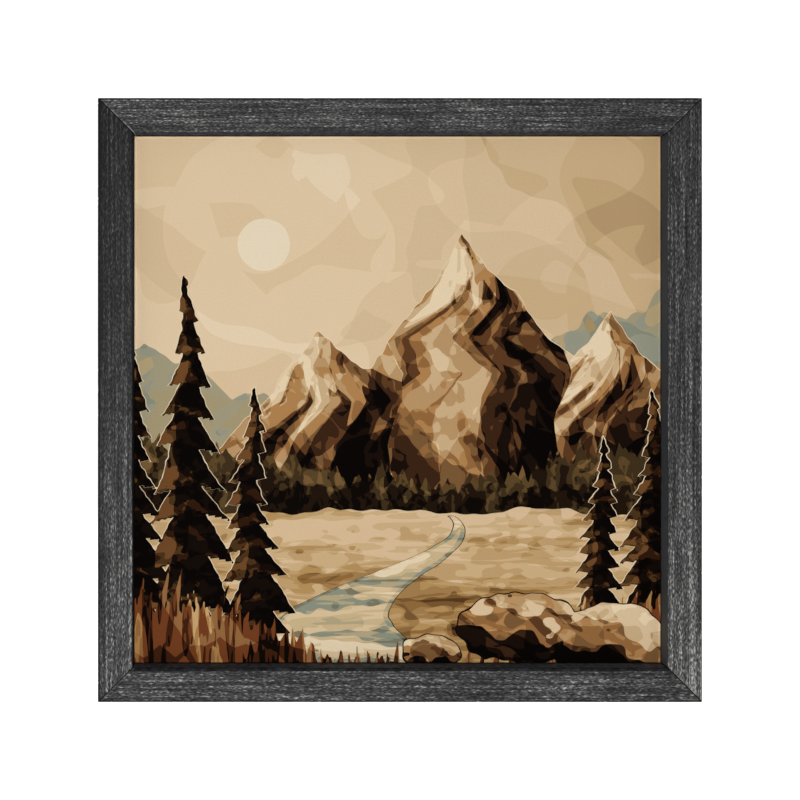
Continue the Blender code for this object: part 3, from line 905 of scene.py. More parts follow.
@dataclass
class Moulding:
    """The charcoal box moulding: four mitred members with open grain, eased arrises and a lip."""

    face: float = 29.2 * MM
    rabbet: float = 24 * MM
    lip: float = 13 * MM
    outer_arris: float = 2.2 * MM
    sight_arris: float = 0.6 * MM
    setback: float = 0.25 * MM
    joint: float = 0.02 * MM
    mitre_ease: float = 0.3 * MM
    pitch: float = 1.0 * MM
    grain_depth: float = 0.13 * MM
    pore_depth: float = 0.22 * MM
    dent_depth: float = 0.35 * MM
    # Strips by the outer arris where painted shade darkens the tone.
    narrow_arris: Pair = (0.9 * MM, 2.5 * MM)
    broad_arris: Pair = (4 * MM, 9 * MM)
    side_coat: float = -0.02
    band_blur: float = 0.3 * MM
    # How dark the painted shadow at the lip's inner end gets.
    lip_shadow_fall: float = 0.7

    def __post_init__(self) -> None:
        """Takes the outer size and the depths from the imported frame."""
        low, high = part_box("rail_top")
        self.half_side, self.top = (high.x - low.x) / 2 + self.setback, high.z
        self.front, self.back = low.y, high.y
        self.middle = np.array([0.0, 0.0, self.top - self.half_side])

    def section(self) -> Section:
        """The L-shaped section, from the back's outer corner round by the front."""
        f, k, lip = self.front, self.back, self.front + self.lip
        corners = ((0, k), (0, f), (self.face, f), (self.face, lip), (self.rabbet, lip), (self.rabbet, k))
        return Section(
            corners=corners,
            radii=(0.6 * MM, self.outer_arris, self.sight_arris, 0.25 * MM, 0, 0.6 * MM),
            pitches=(0.9 * MM, 0.44 * MM, 0.9 * MM, 1.4 * MM, 2.5 * MM, 1.6 * MM),
            arc_steps=(3, 8, 5, 2, 0, 3),
        )

    def grain(self, x: Array, around: Array, look: MemberLook) -> Array:
        """Ridges from 0 to 1: lanes 60 mm long and 0.95 mm wide, which sway, broken by spots of 1.8 mm."""
        slow = layered_noise(x / (34 * MM) + 9, around / (16 * MM), look.seed + 90, 3) - 0.5
        across = around + look.sway * slow
        spots = value_noise(x / (1.8 * MM) + 40, across / (0.8 * MM), look.seed)
        lanes = value_noise(x / (60 * MM) + 70, across / (0.95 * MM), look.seed + 1)
        return 0.45 * spots + 0.55 * lanes

    def relief(self, x: Array, around: Array, label: Array, look: MemberLook) -> Array:
        """Depth below the sanded surface.

        Args:
            x: place along the member.
            around: distance round the section.
            label: corner or flat.
            look: the member's look.

        Returns:
            The grain's valleys and rare long pores on the side and the face, and dents on the arris.
        """
        open_grain = ((label >= Zone.SIDE) & (label <= Zone.FACE)) * 1.0
        ridges, seed = self.grain(x * look.stretch, around, look), look.seed
        pores = smooth_step(value_noise(x / (11 * MM), around / (0.8 * MM) + 5, seed + 2), 0.80, 0.95)
        dents = smooth_step(value_noise(x / (2.5 * MM), around / (2 * MM), seed + 3), 0.86, 0.98)
        depth = self.grain_depth * (1 - ridges) + self.pore_depth * pores
        return open_grain * depth + (label == Zone.ARRIS) * self.dent_depth * dents

    def coat(self, fields: dict[str, Array], look: MemberLook) -> Array:
        """How much more or less the brush left: by place along and little on the side, with painted shade
        darkening the outer arris and dry brush with a painted edge highlight on the sight arris.
        """
        label, inset = fields["label"], fields["inset"]
        along = np.interp(fields["x"], *np.array(look.brushed).T)
        # Painted shade darkens the outer arris, in a narrow and a broad strip, by side.
        narrow, broad = look.arris_painted_shade
        rim = narrow * (1 - smooth_step(inset, *self.narrow_arris))
        rim = rim + broad * (1 - smooth_step(inset, *self.broad_arris))
        front = (label >= Zone.ARRIS) & (label <= Zone.FACE)
        # On the sight arris, dry brush and a painted edge highlight add a little, by side.
        sight = np.where(label == Zone.SIGHT, look.sight_coat_and_highlight, 0.0)
        return along + rim * front + sight + self.side_coat * (label == Zone.SIDE)

    def band(self, fields: dict[str, Array], look: MemberLook) -> Array:
        """1 where the face's inner edge is plain, in a band whose width in mm runs between its two ends;
        its tone is painted shade.
        """
        width = np.interp(fields["x"] / self.half_side, (-0.9, 0.9), look.band) * MM
        on_face = (fields["label"] >= Zone.FACE) & (fields["label"] <= Zone.SIGHT) & (width > 0)
        start = self.face - width
        return on_face * np.clip((fields["inset"] - start) / self.band_blur + 0.5, 0, 1)

    def attributes(self, fields: dict[str, Array], look: MemberLook, height: Array) -> dict[str, Array]:
        """Works out what the paint reads at each point.

        Args:
            fields: the sweep's fields.
            look: the member's look.
            height: world z of each point once the member is in its place.

        Returns:
            The point attributes by name.
        """
        label, x, around = fields["label"], fields["x"] * look.stretch, fields["round"]
        deep = (fields["y"] - self.front) / self.lip
        # Painted shade and light: the lip's tone per side, darkened towards the picture as a painted
        # shadow.
        lip = look.lip_painted_shade - self.lip_shadow_fall * smooth_step(deep, *look.lip_painted_shadow)
        on_lip = label > Zone.SIGHT
        # Per side, how much blue cancels the warm light bounced from the picture.
        cool = np.interp(fields["x"] / self.half_side, (-0.5, 0.5), look.lip_bounce_tint)
        low_end, high_end = look.worn_ends
        painted = (label >= Zone.SIDE) & (label <= Zone.WALL_END)
        return {
            "grain": np.stack([x, around, np.full(len(x), look.seed * 0.173)], 1),
            "ridge": self.grain(x, around, look),
            # Dry brush, with painted shade by the outer arris and a painted highlight on the sight arris.
            "brushed": self.coat(fields, look),
            # On the lip and the plain band the tone is painted shade; on the band it matches the lip in
            # shadow.
            "shade": np.where(on_lip, lip, look.band_painted_shade),
            "cool": on_lip * cool,
            "smooth": np.maximum(on_lip & (label <= Zone.REBATE), self.band(fields, look)),
            "bare": np.where((label >= Zone.REBATE) | (label == Zone.BACK), 1.0, 0.0),
            "mitre": np.where(painted, fields["mitre"], 10 * MM),
            # The pale line by the mitre, given per end and fainter lower down.
            "worn": np.where(x > 0, high_end, low_end) * np.clip(0.5 + height * 2.5 + 0.6, 0.25, 1),
        }

    def member(self, side: Side, finish: Material) -> Object:
        """Builds one member.

        Args:
            side: where it goes.
            finish: its material.

        Returns:
            Its object.
        """
        look = MEMBERS[side]
        stations = mitre_stations(2 * self.half_side, self.pitch)
        stick = Stick(self.section(), self.half_side, self.joint, stations)
        surface, fields = stick.sweep(lambda *at: self.relief(*at, look), self.mitre_ease, self.top)
        stick.closed(surface, side, self.middle)
        surface.attributes = self.attributes(fields, look, surface.points[:, 2])
        return surface.into_object(f"moulding_{side.label}", finish)

    def build(self, finish: Material) -> None:
        """Builds the four members, each in place of its rail or stile."""
        for side in Side:
            show(self.member(side, finish), "black_wood", MEMBERS[side].node)


@dataclass
class Stretcher:
    """Four pine stretcher bars with a sloping face, eased inner edges and mitred ends."""

    width: float = 38 * MM
    slope: float = 2.6 * MM
    edge: float = 0.4 * MM
    arris: float = 1.5 * MM
    setback: float = 0.05 * MM
    mitre_ease: float = 0.25 * MM
    pitch: float = 3 * MM
    first_seed: int = 71

    def __post_init__(self) -> None:
        """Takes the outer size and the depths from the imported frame."""
        low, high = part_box("stretcher_top")
        self.half_side, self.top = (high.x - low.x) / 2, high.z
        self.front, self.back = low.y, high.y

    def build(self, finish: Material) -> None:
        """Builds the bars, each in place of its CAD node."""
        f, k = self.front, self.back
        section = Section(
            corners=((0, k), (0, f), (self.width, f + self.slope), (self.width, k)),
            radii=(self.edge, self.edge, self.arris, self.arris),
            pitches=(2.5 * MM, 2.0 * MM, 2.0 * MM, 1.6 * MM),
            arc_steps=(2, 2, 5, 5),
        )
        stick = Stick(section, self.half_side, self.setback, mitre_stations(2 * self.half_side, self.pitch))
        middle = np.array([0.0, 0.0, self.top - self.half_side])
        for seed, side in enumerate(Side, start=self.first_seed):

            def relief(x: Array, around: Array, label: Array, seed: int = seed) -> Array:
                """Planer ripple 4 mm long and 0.02 mm deep, and fibres along the bar."""
                ripple = 0.02 * MM * (0.5 + 0.5 * np.sin(x * 2 * math.pi / (4 * MM)))
                return ripple + 0.05 * MM * value_noise(x / (30 * MM) + 50, around / (1.5 * MM), seed)

            surface, fields = stick.sweep(relief, self.mitre_ease, self.top)
            x, around = fields["x"], fields["round"]
            surface.attributes = {"grain": np.stack([x, around, np.full(len(x), seed * 0.31)], 1)}
            piece = stick.closed(surface, side, middle).into_object(f"stretcher_bar_{side.label}", finish)
            show(piece, "pine", f"stretcher_{side.label}")


# --- The picture: fields for a made-up mountain valley, and the canvas that carries them ---


Field = Callable[[Array, Array], Array]


@dataclass(frozen=True)
class Step:
    """A shape inside a layer: its tone rises by the weight where the field is above zero."""

    weight: float
    field: Field


@dataclass(frozen=True)
class PaintLayer:
    """One layer of the picture: where it lies, its tones and its dabs, whose sizes are in mm."""

    name: str
    edge: Field | None
    base: float
    steps: tuple[Step, ...]
    colours: Stops
    dab: Pair
    dab_weight: float
    wobble: float
    wobble_size: float
    rim: str = ""
    bend: float = 0.6

    def fields(self, u: Array, v: Array) -> dict[str, Array]:
        """Works out the layer's edge and steps over the canvas, by attribute name."""
        named = {f"{self.name}_{number}": step.field for number, step in enumerate(self.steps)}
        if self.edge is not None:
            named[f"{self.name}_edge"] = self.edge
        return {name: np.clip(field(u, v), -0.3, 0.3) for name, field in named.items()}


def part(fields: Callable[[Array, Array], tuple[Array, ...]], number: int) -> Field:
    """One of several fields that are worked out together."""
    return lambda u, v: fields(u, v)[number]


def crest(u: Array, knots: Sequence[Pair], rough: float, seed: int) -> Array:
    """A skyline: straight slopes between knots plus layered noise along u."""
    heights = np.interp(u, *np.array(knots).T)
    return heights + rough * (layered_noise(u * 7 + 20, u * 0 + 0.5, seed, 4) - 0.5)


def patches(
    weight: float,
    size: Pair,
    seed: int,
    level: float = 0.5,
    slant: float = 0.0,
    straight: bool = False,
) -> Step:
    """Flat rounded or straight-sided patches where noise is above a level.

    Args:
        weight: the tone that they add.
        size: their size along u and v.
        seed: number of the noise's table.
        level: the level, which sets how much they cover.
        slant: how far they lean with u.
        straight: whether their sides are straight.

    Returns:
        The step, whose field is the noise above the level times the patches' size.
    """

    def field(u: Array, v: Array) -> Array:
        """Noise over the level, in units of the canvas, on coordinates that a slower noise bends."""
        a, c = u / size[0] + seed * 0.37, (v + slant * u) / size[1] + seed * 0.61
        if straight:
            return (facet_noise(a + 0.3 * c, c, seed) - level) * min(size)
        slow = (value_noise(a / 1.4 + 5 * k, c / 1.4 + 9 * k, seed + 500 + k) for k in (0, 1))
        bends = [1.7 * (noise - 0.5) for noise in slow]
        return (value_noise(a + bends[0], c + bends[1], seed) - level) * min(size)

    return Step(weight, field)


# A made-up valley in sepia: pale sky, hazy ridge, sunlit massif, fir woods, meadow and a brook. Each field
# takes u to the right and v up, both -1 to 1 over the canvas face. Tones are sums of flat shapes, so
# colours lie side by side without running into each other. A peak is (u, height, lean of its spine), a fir
# (stem u, base, top, half width) and a boulder (u, v, half width, half height).
PEAKS = ((-0.30, 0.26, -0.16), (0.24, 0.63, 0.10), (0.80, 0.32, -0.10))
SUN = (-0.50, 0.58)
FIRS = (
    (-0.79, -0.90, 0.50, 0.225), (-1.00, -0.88, 0.22, 0.19), (-0.545, -0.88, 0.08, 0.155),
    (0.955, -0.80, 0.06, 0.16), (0.765, -0.78, -0.12, 0.115),
)  # fmt: skip
BOULDERS = ((0.47, -0.86, 0.22, 0.13), (0.80, -0.93, 0.22, 0.17), (0.12, -0.95, 0.10, 0.06))


def glow(reach: float) -> Field:
    """Distance inside a ring round the sun, whose rim is uneven."""

    def field(u: Array, v: Array) -> Array:
        """Reach less distance from the sun, with slow noise."""
        far = np.hypot(u - SUN[0], v - SUN[1])
        return reach * (1 + 0.7 * (layered_noise(u * 2.5 + reach, v * 2.5, 305, 2) - 0.5)) - far

    return field


def corner(u: Array, v: Array) -> Array:
    """Distance inside the darker cloud at the upper right."""
    return u + 0.8 * v - 1.12 + 0.55 * (layered_noise(u * 3.2, v * 3.2, 309, 3) - 0.5)


def disc(u: Array, v: Array) -> Array:
    """Distance inside the sun's rim."""
    return 0.098 - np.hypot(u - SUN[0], v - SUN[1])


def ridge_edge(u: Array, v: Array) -> Array:
    """Height below the hazy ridge's skyline."""
    knots = [(-1.3, 0.12), (-0.95, 0.24), (-0.62, -0.02), (-0.1, 0.06), (0.5, 0.10), (0.72, 0.30)]
    knots += [(1.3, 0.5)]
    return crest(u, knots, 0.16, 311) - v


def massif_edge(u: Array, v: Array) -> Array:
    """Height below the massif's skyline."""
    knots = [(-1.3, -0.6), (-0.80, -0.34), (-0.62, -0.14), (-0.46, 0.02), (-0.30, 0.26), (-0.20, 0.16)]
    knots += [(-0.10, 0.10), (0.02, 0.28), (0.14, 0.44), (0.24, 0.63), (0.35, 0.47), (0.44, 0.42)]
    knots += [(0.55, 0.24), (0.66, 0.16), (0.80, 0.32), (0.92, 0.16), (1.3, -0.15)]
    return crest(u, knots, 0.07, 331) - v


def spines(u: Array, v: Array) -> tuple[Array, Array, Array, Array]:
    """Finds the spine that each point of the massif belongs to.

    Args:
        u: place to the right.
        v: place up.

    Returns:
        Distance to the right of the nearest spine, fall below its peak, the peak's number, and how
        much further the next spine is.
    """
    spine, drop, owner = np.full(u.shape, 9.0), np.zeros(u.shape), np.zeros(u.shape)
    nearest, second = np.full(u.shape, 9.0), np.full(u.shape, 9.0)
    for k, (peak, height, lean) in enumerate(PEAKS):
        fall = np.maximum(height - v, 0)
        zigzag = 0.17 * (facet_noise(fall * 7.5, fall * 0 + k, 340 + k) - 0.5) * (1 - np.exp(-8 * fall))
        side = u - (peak + lean * fall + zigzag)
        reach = np.abs(side) * (1 + 0.8 * (k == 2))
        nearer = reach < nearest
        spine, drop = np.where(nearer, side, spine), np.where(nearer, fall, drop)
        owner = np.where(nearer, k, owner)
        nearest, second = np.minimum(nearest, reach), np.minimum(second, np.maximum(nearest, reach))
    return spine, drop, owner, second - nearest


def flank(u: Array, v: Array) -> Array:
    """Distance to the left of the spine, on the sunlit side."""
    spine, _, _, apart = spines(u, v)
    return np.clip(-spine, -apart, apart)


def ribs(count: float, seed: int, level: float, start: float) -> Field:
    """Straight-sided faces that spread from each peak and grow down its slopes."""

    def field(u: Array, v: Array) -> Array:
        """Flat-faced noise by the angle below the peak and by the logarithm of the fall."""
        spine, drop, owner, apart = spines(u, v)
        down = 0.55 * count * np.log1p(3 * drop)
        across = count * np.arctan2(spine, drop + 0.05) + 0.4 * down + 5.3 * owner
        value = facet_noise(across, down, seed) - level
        return np.clip(np.where(drop > start, value * (drop + 0.05) / count * 2, -0.05), -apart, apart)

    return field


def snow(u: Array, v: Array) -> Array:
    """Snow down from each peak with pointed tongues that run out, mostly on the lit side."""
    spine, drop, owner, apart = spines(u, v)
    angle = np.arctan2(spine, drop + 0.05)
    tongues = 0.34 * (facet_noise(8 * angle + 3 * owner, 2 * drop + owner, 363) - 0.5)
    depth = 0.25 + tongues - drop - 0.35 * np.maximum(spine, 0) - 0.5 * np.maximum(-spine - 0.16, 0)
    return np.clip(depth, -apart, apart)


def foot(u: Array, v: Array) -> Array:
    """Depth inside the massif's shaded foot."""
    return -0.16 - v + 0.26 * (facet_noise(u * 7, v * 4, 365) - 0.5)


def wood_edge(u: Array, v: Array) -> Array:
    """A far fir wood: a low skyline with rows of narrow pointed tops."""
    line = crest(u, ((-1.3, -0.14), (-0.6, -0.26), (0.0, -0.36), (0.5, -0.31), (1.3, -0.14)), 0.10, 361)
    tops = np.zeros(u.shape)
    for k, (pitch, height) in enumerate(((0.052, 0.085), (0.037, 0.06), (0.083, 0.13))):
        place = u / pitch + 0.37 * k + 0.5
        cell = np.floor(place)
        size = value_noise(cell, cell * 0 + k, 367)
        tops = np.maximum(tops, height * (0.35 + 0.65 * size) * (1 - 2.4 * np.abs(place - cell - 0.5)))
    return line + tops - v


def meadow_edge(u: Array, v: Array) -> Array:
    """Height below the meadow's far edge."""
    return -0.42 + 0.05 * (layered_noise(u * 4, u * 0, 379) - 0.5) - v


def near_ground(level: float) -> Field:
    """Depth below a level that wanders, for the darker ground near the viewer."""

    def field(u: Array, v: Array) -> Array:
        """The level, which falls towards both sides, with slow noise."""
        return level - v + 0.16 * (layered_noise(u * 3 + level * 9, v * 7, 381, 3) - 0.5) - 0.1 * u * u

    return field


def brook_edge(u: Array, v: Array) -> Array:
    """Width less distance from a winding line that widens towards the viewer."""
    near = np.clip((-0.43 - v) / 0.57, 0, 1.2)
    line = 0.16 + 0.30 * np.sin(6.0 * near**0.62 + 0.2) * (0.25 + 0.75 * near) - 0.25 * near
    width = 0.010 + 0.33 * near**1.4
    bank = 0.05 * near * (layered_noise(u * 7, v * 15, 389) - 0.5)
    return np.minimum(width - np.abs(u - line) + bank, -0.435 - v)


def fir_fields(u: Array, v: Array) -> tuple[Array, Array, Array]:
    """Tiers of boughs that droop outwards: half width times (1 - t), and a saw tooth of the height t.

    Args:
        u: place to the right.
        v: place up.

    Returns:
        How far inside the nearest fir the point lies, how far it is to its lit side, and how far up
        its tier.
    """
    best, lit, upper = (np.full(u.shape, -1.0) for _ in range(3))
    for k, (stem, base, top, half) in enumerate(FIRS):
        offset = u - stem - 0.012 * np.sin(9 * v + k)
        t = np.clip((v - base) / (top - base) + 0.22 * np.abs(offset), 0, 1.3)
        tiers = 10.5 * t**1.12 + 0.55 * (value_noise(np.sign(offset) * 3 + t * 9, t * 0 + k, 403) - 0.5)
        tooth = 1 - (tiers - np.floor(tiers))
        span = half * np.clip(1 - t, 0, 1) ** 0.85
        size = 0.75 + 0.5 * value_noise(np.floor(tiers) + 0.5, np.sign(offset) * 2 + k + 3, 405)
        body = span * size * (0.40 + 0.60 * tooth) - np.abs(offset)
        body = body - 0.009 * smooth_step(t, 0.955, 0.985)
        body = np.where((v > base) & (t < 1), body, -1.0)
        mine = body > best
        uneven = 0.07 * (layered_noise(u * 15, v * 11, 407, 2) - 0.5)
        lit = np.where(mine, -offset - 0.30 * span + uneven, lit)
        height = (tooth - 0.55) * 0.05 + 0.6 * uneven - 0.25 * np.maximum(offset, 0)
        upper = np.where(mine, height, upper)
        best = np.maximum(best, body)
    return best, lit, upper


def rock_fields(u: Array, v: Array) -> tuple[Array, Array, Array]:
    """Boulders as flat-bottomed ovals whose rims and faces are uneven.

    Args:
        u: place to the right.
        v: place up.

    Returns:
        How far inside the nearest boulder the point lies, and how far inside its lit top and above
        its dark underside.
    """
    best, top, under = (np.full(u.shape, -1.0) for _ in range(3))
    rough = 0.36 * (layered_noise(u * 5, v * 6, 409, 2) - 0.5)
    for k, (middle_u, middle_v, wide, high) in enumerate(BOULDERS):
        a, c = (u - middle_u) / wide, (v - middle_v) / high
        radius = (np.abs(a) ** 2.4 + np.abs(c) ** 2.2) ** 0.43
        body = (1 - radius + rough) * high
        cut = layered_noise(a * 2.4 + k * 5, c * 2.0, 413, 2) - 0.5
        mine = body > best
        top = np.where(mine, (c - 0.36 + 0.45 * a + 1.5 * cut) * high, top)
        under = np.where(mine, (c + 0.22 + 0.25 * a + 1.1 * cut) * high, under)
        best = np.maximum(best, body)
    return best, top, under


def grass_edge(u: Array, v: Array) -> Array:
    """Leaning blades over a low bank along the foot of the picture and below the firs."""
    sway = value_noise(u * 5, u * 0 + 0.5, 421) - 0.5
    knots = [(-1.3, -0.74), (-0.8, -0.80), (-0.5, -0.88), (-0.25, -1.0), (0.5, -1.08), (0.66, -0.84)]
    knots += [(1.3, -0.72)]
    foot = crest(u, knots, 0.05, 433)
    rise = np.clip(v - foot, 0, 0.3)
    blades = np.zeros(u.shape)
    for k, (pitch, tall) in enumerate(((0.026, 0.12), (0.036, 0.19), (0.052, 0.25))):
        place = (u - (0.5 * sway + 0.22 * (k - 1)) * rise) / pitch + 0.31 * k
        cell = np.floor(place)
        size = value_noise(cell + 0.5, cell * 0 + k, 435 + k) ** 1.5
        blades = np.maximum(blades, tall * size * (1 - 3.2 * np.abs(place - cell - 0.5)))
    return foot + blades - v


def valley_layers() -> tuple[PaintLayer, ...]:
    """The layers, from the sky forward."""
    cream, dark = "ecd9b6", "0f0906"  # what shows round a layer's rim
    sky = (
        Step(0.06, glow(0.42)),
        Step(0.07, glow(0.78)),
        Step(0.06, glow(1.25)),
        Step(-0.13, corner),
        patches(0.07, (0.62, 0.40), 301),
        patches(0.05, (0.40, 0.30), 303),
        patches(0.04, (0.26, 0.20), 307, 0.62),
    )
    haze = (
        Step(0.12, lambda u, v: v - 0.02 + 0.1 * (layered_noise(u * 5, v * 5, 315) - 0.5)),
        patches(0.20, (0.20, 0.13), 317, slant=0.5),
        patches(0.12, (0.09, 0.06), 319, slant=-0.6),
    )
    rock = (
        Step(0.20, flank),
        Step(0.16, ribs(4.2, 351, 0.50, 0.02)),
        Step(-0.15, ribs(6.6, 353, 0.55, 0.06)),
        Step(0.11, ribs(10.5, 355, 0.54, 0.16)),
        Step(0.24, snow),
        Step(-0.13, foot),
        patches(0.09, (0.10, 0.15), 357, slant=0.6, straight=True),
        patches(0.05, (0.07, 0.08), 359, slant=-0.5, straight=True),
    )
    wood = (
        Step(0.16, lambda u, v: v + 0.33 + 0.12 * (layered_noise(u * 20, v * 9, 371) - 0.5)),
        patches(0.16, (0.045, 0.09), 373),
        patches(0.10, (0.09, 0.05), 375),
    )
    meadow = (
        Step(-0.10, near_ground(-0.56)),
        Step(-0.10, near_ground(-0.72)),
        Step(-0.10, near_ground(-0.86)),
        patches(0.16, (0.44, 0.055), 383, slant=0.05),
        patches(0.12, (0.26, 0.032), 387, slant=-0.05),
        patches(0.08, (0.12, 0.020), 391),
    )
    brook = (
        Step(0.12, lambda u, v: brook_edge(u, v) - 0.020),
        patches(0.22, (0.34, 0.045), 397, 0.55),
        patches(0.18, (0.50, 0.070), 399, 0.50),
        patches(0.10, (0.16, 0.022), 393),
    )
    fir = (
        Step(0.20, part(fir_fields, 1)),
        Step(0.16, part(fir_fields, 2)),
        patches(0.12, (0.045, 0.035), 401),
    )
    boulder = (
        Step(0.28, part(rock_fields, 1)),
        Step(0.28, part(rock_fields, 2)),
        patches(0.12, (0.12, 0.07), 419, slant=0.4, straight=True),
        patches(0.08, (0.07, 0.05), 423),
    )
    grass = (
        patches(0.20, (0.055, 0.36), 439, slant=0.3, straight=True),
        patches(0.14, (0.11, 0.30), 441, slant=-0.4, straight=True),
        Step(-0.16, lambda u, v: -0.93 - v + 0.10 * (facet_noise(u * 18, v * 2, 443) - 0.5)),
    )
    fir_edge, rock_edge = part(fir_fields, 0), part(rock_fields, 0)
    return (
        PaintLayer("sky", None, 0.67, sky, SKY_COLOURS, (150, 110), 0.03, 0.02, 40),
        PaintLayer("disc", disc, 0.70, (), DISC_COLOURS, (40, 30), 0.01, 0.003, 20),
        PaintLayer("ridge", ridge_edge, 0.50, haze, HAZE_COLOURS, (30, 20), 0.04, 0.010, 14),
        PaintLayer("massif", massif_edge, 0.52, rock, ROCK_COLOURS, (18, 24), 0.035, 0.012, 12, cream),
        PaintLayer("wood", wood_edge, 0.44, wood, WOOD_COLOURS, (8, 14), 0.06, 0.008, 6),
        PaintLayer("meadow", meadow_edge, 0.63, meadow, MEADOW_COLOURS, (60, 8), 0.05, 0.010, 14),
        PaintLayer("brook", brook_edge, 0.60, brook, BROOK_COLOURS, (50, 7), 0.05, 0.008, 14, dark),
        PaintLayer("fir", fir_edge, 0.48, fir, FIR_COLOURS, (12, 8), 0.05, 0.008, 6, cream),
        PaintLayer("grass", grass_edge, 0.50, grass, GRASS_COLOURS, (4.6, 38), 0.17, 0.002, 9, bend=0.25),
        PaintLayer("rock", rock_edge, 0.50, boulder, ROCK_COLOURS, (24, 14), 0.05, 0.012, 12, dark),
    )


SKY_COLOURS = (
    (0.0, "a98558"), (0.36, "ba9c72"), (0.45, "c6a87c"), (0.52, "d0b288"), (0.59, "d5ba92"),
    (0.65, "dbc09a"), (0.72, "e1c6a0"), (0.80, "e7ceaa"), (0.88, "edd8b8"),
)
DISC_COLOURS = ((0.0, "efdfc2"), (0.80, "f3e6cd"))
HAZE_COLOURS = (
    (0.0, "a99b78"), (0.34, "a59d80"), (0.44, "b8a47c"), (0.52, "9a9a88"), (0.60, "8c8f7e"),
    (0.70, "aa9266"), (0.82, "bc9a68"),
)
ROCK_COLOURS = (
    (0.0, "060302"), (0.20, "180d07"), (0.30, "3b2414"), (0.38, "5f3c22"), (0.45, "7c5a36"),
    (0.51, "976a3e"), (0.57, "b48551"), (0.64, "bd976a"), (0.71, "d0b288"), (0.80, "e1c6a0"),
    (0.92, "edd8b4"),
)
WOOD_COLOURS = (
    (0.0, "0b0603"), (0.28, "21150b"), (0.42, "40311c"), (0.54, "5c4727"),
    (0.66, "785a36"), (0.80, "847048"),
)
MEADOW_COLOURS = (
    (0.0, "2a180c"), (0.26, "5a3a1e"), (0.36, "7a5a32"), (0.45, "936c3c"), (0.53, "a68150"),
    (0.61, "b9935c"), (0.70, "c4a272"), (0.79, "d2b386"), (0.90, "dec19a"),
)
BROOK_COLOURS = (
    (0.0, "4c4230"), (0.30, "7d7a64"), (0.42, "8e9482"), (0.52, "b7a884"), (0.60, "d0b88e"),
    (0.70, "dfc69e"), (0.82, "ebd8b6"),
)
FIR_COLOURS = (
    (0.0, "060302"), (0.34, "120a05"), (0.46, "30190b"), (0.56, "4c341a"), (0.66, "704a28"),
    (0.78, "915f34"), (0.90, "b58a58"),
)
GRASS_COLOURS = (
    (0.0, "0e0703"), (0.25, "40200f"), (0.42, "743f20"), (0.58, "966a40"),
    (0.74, "b0824c"), (0.90, "cca672"),
)


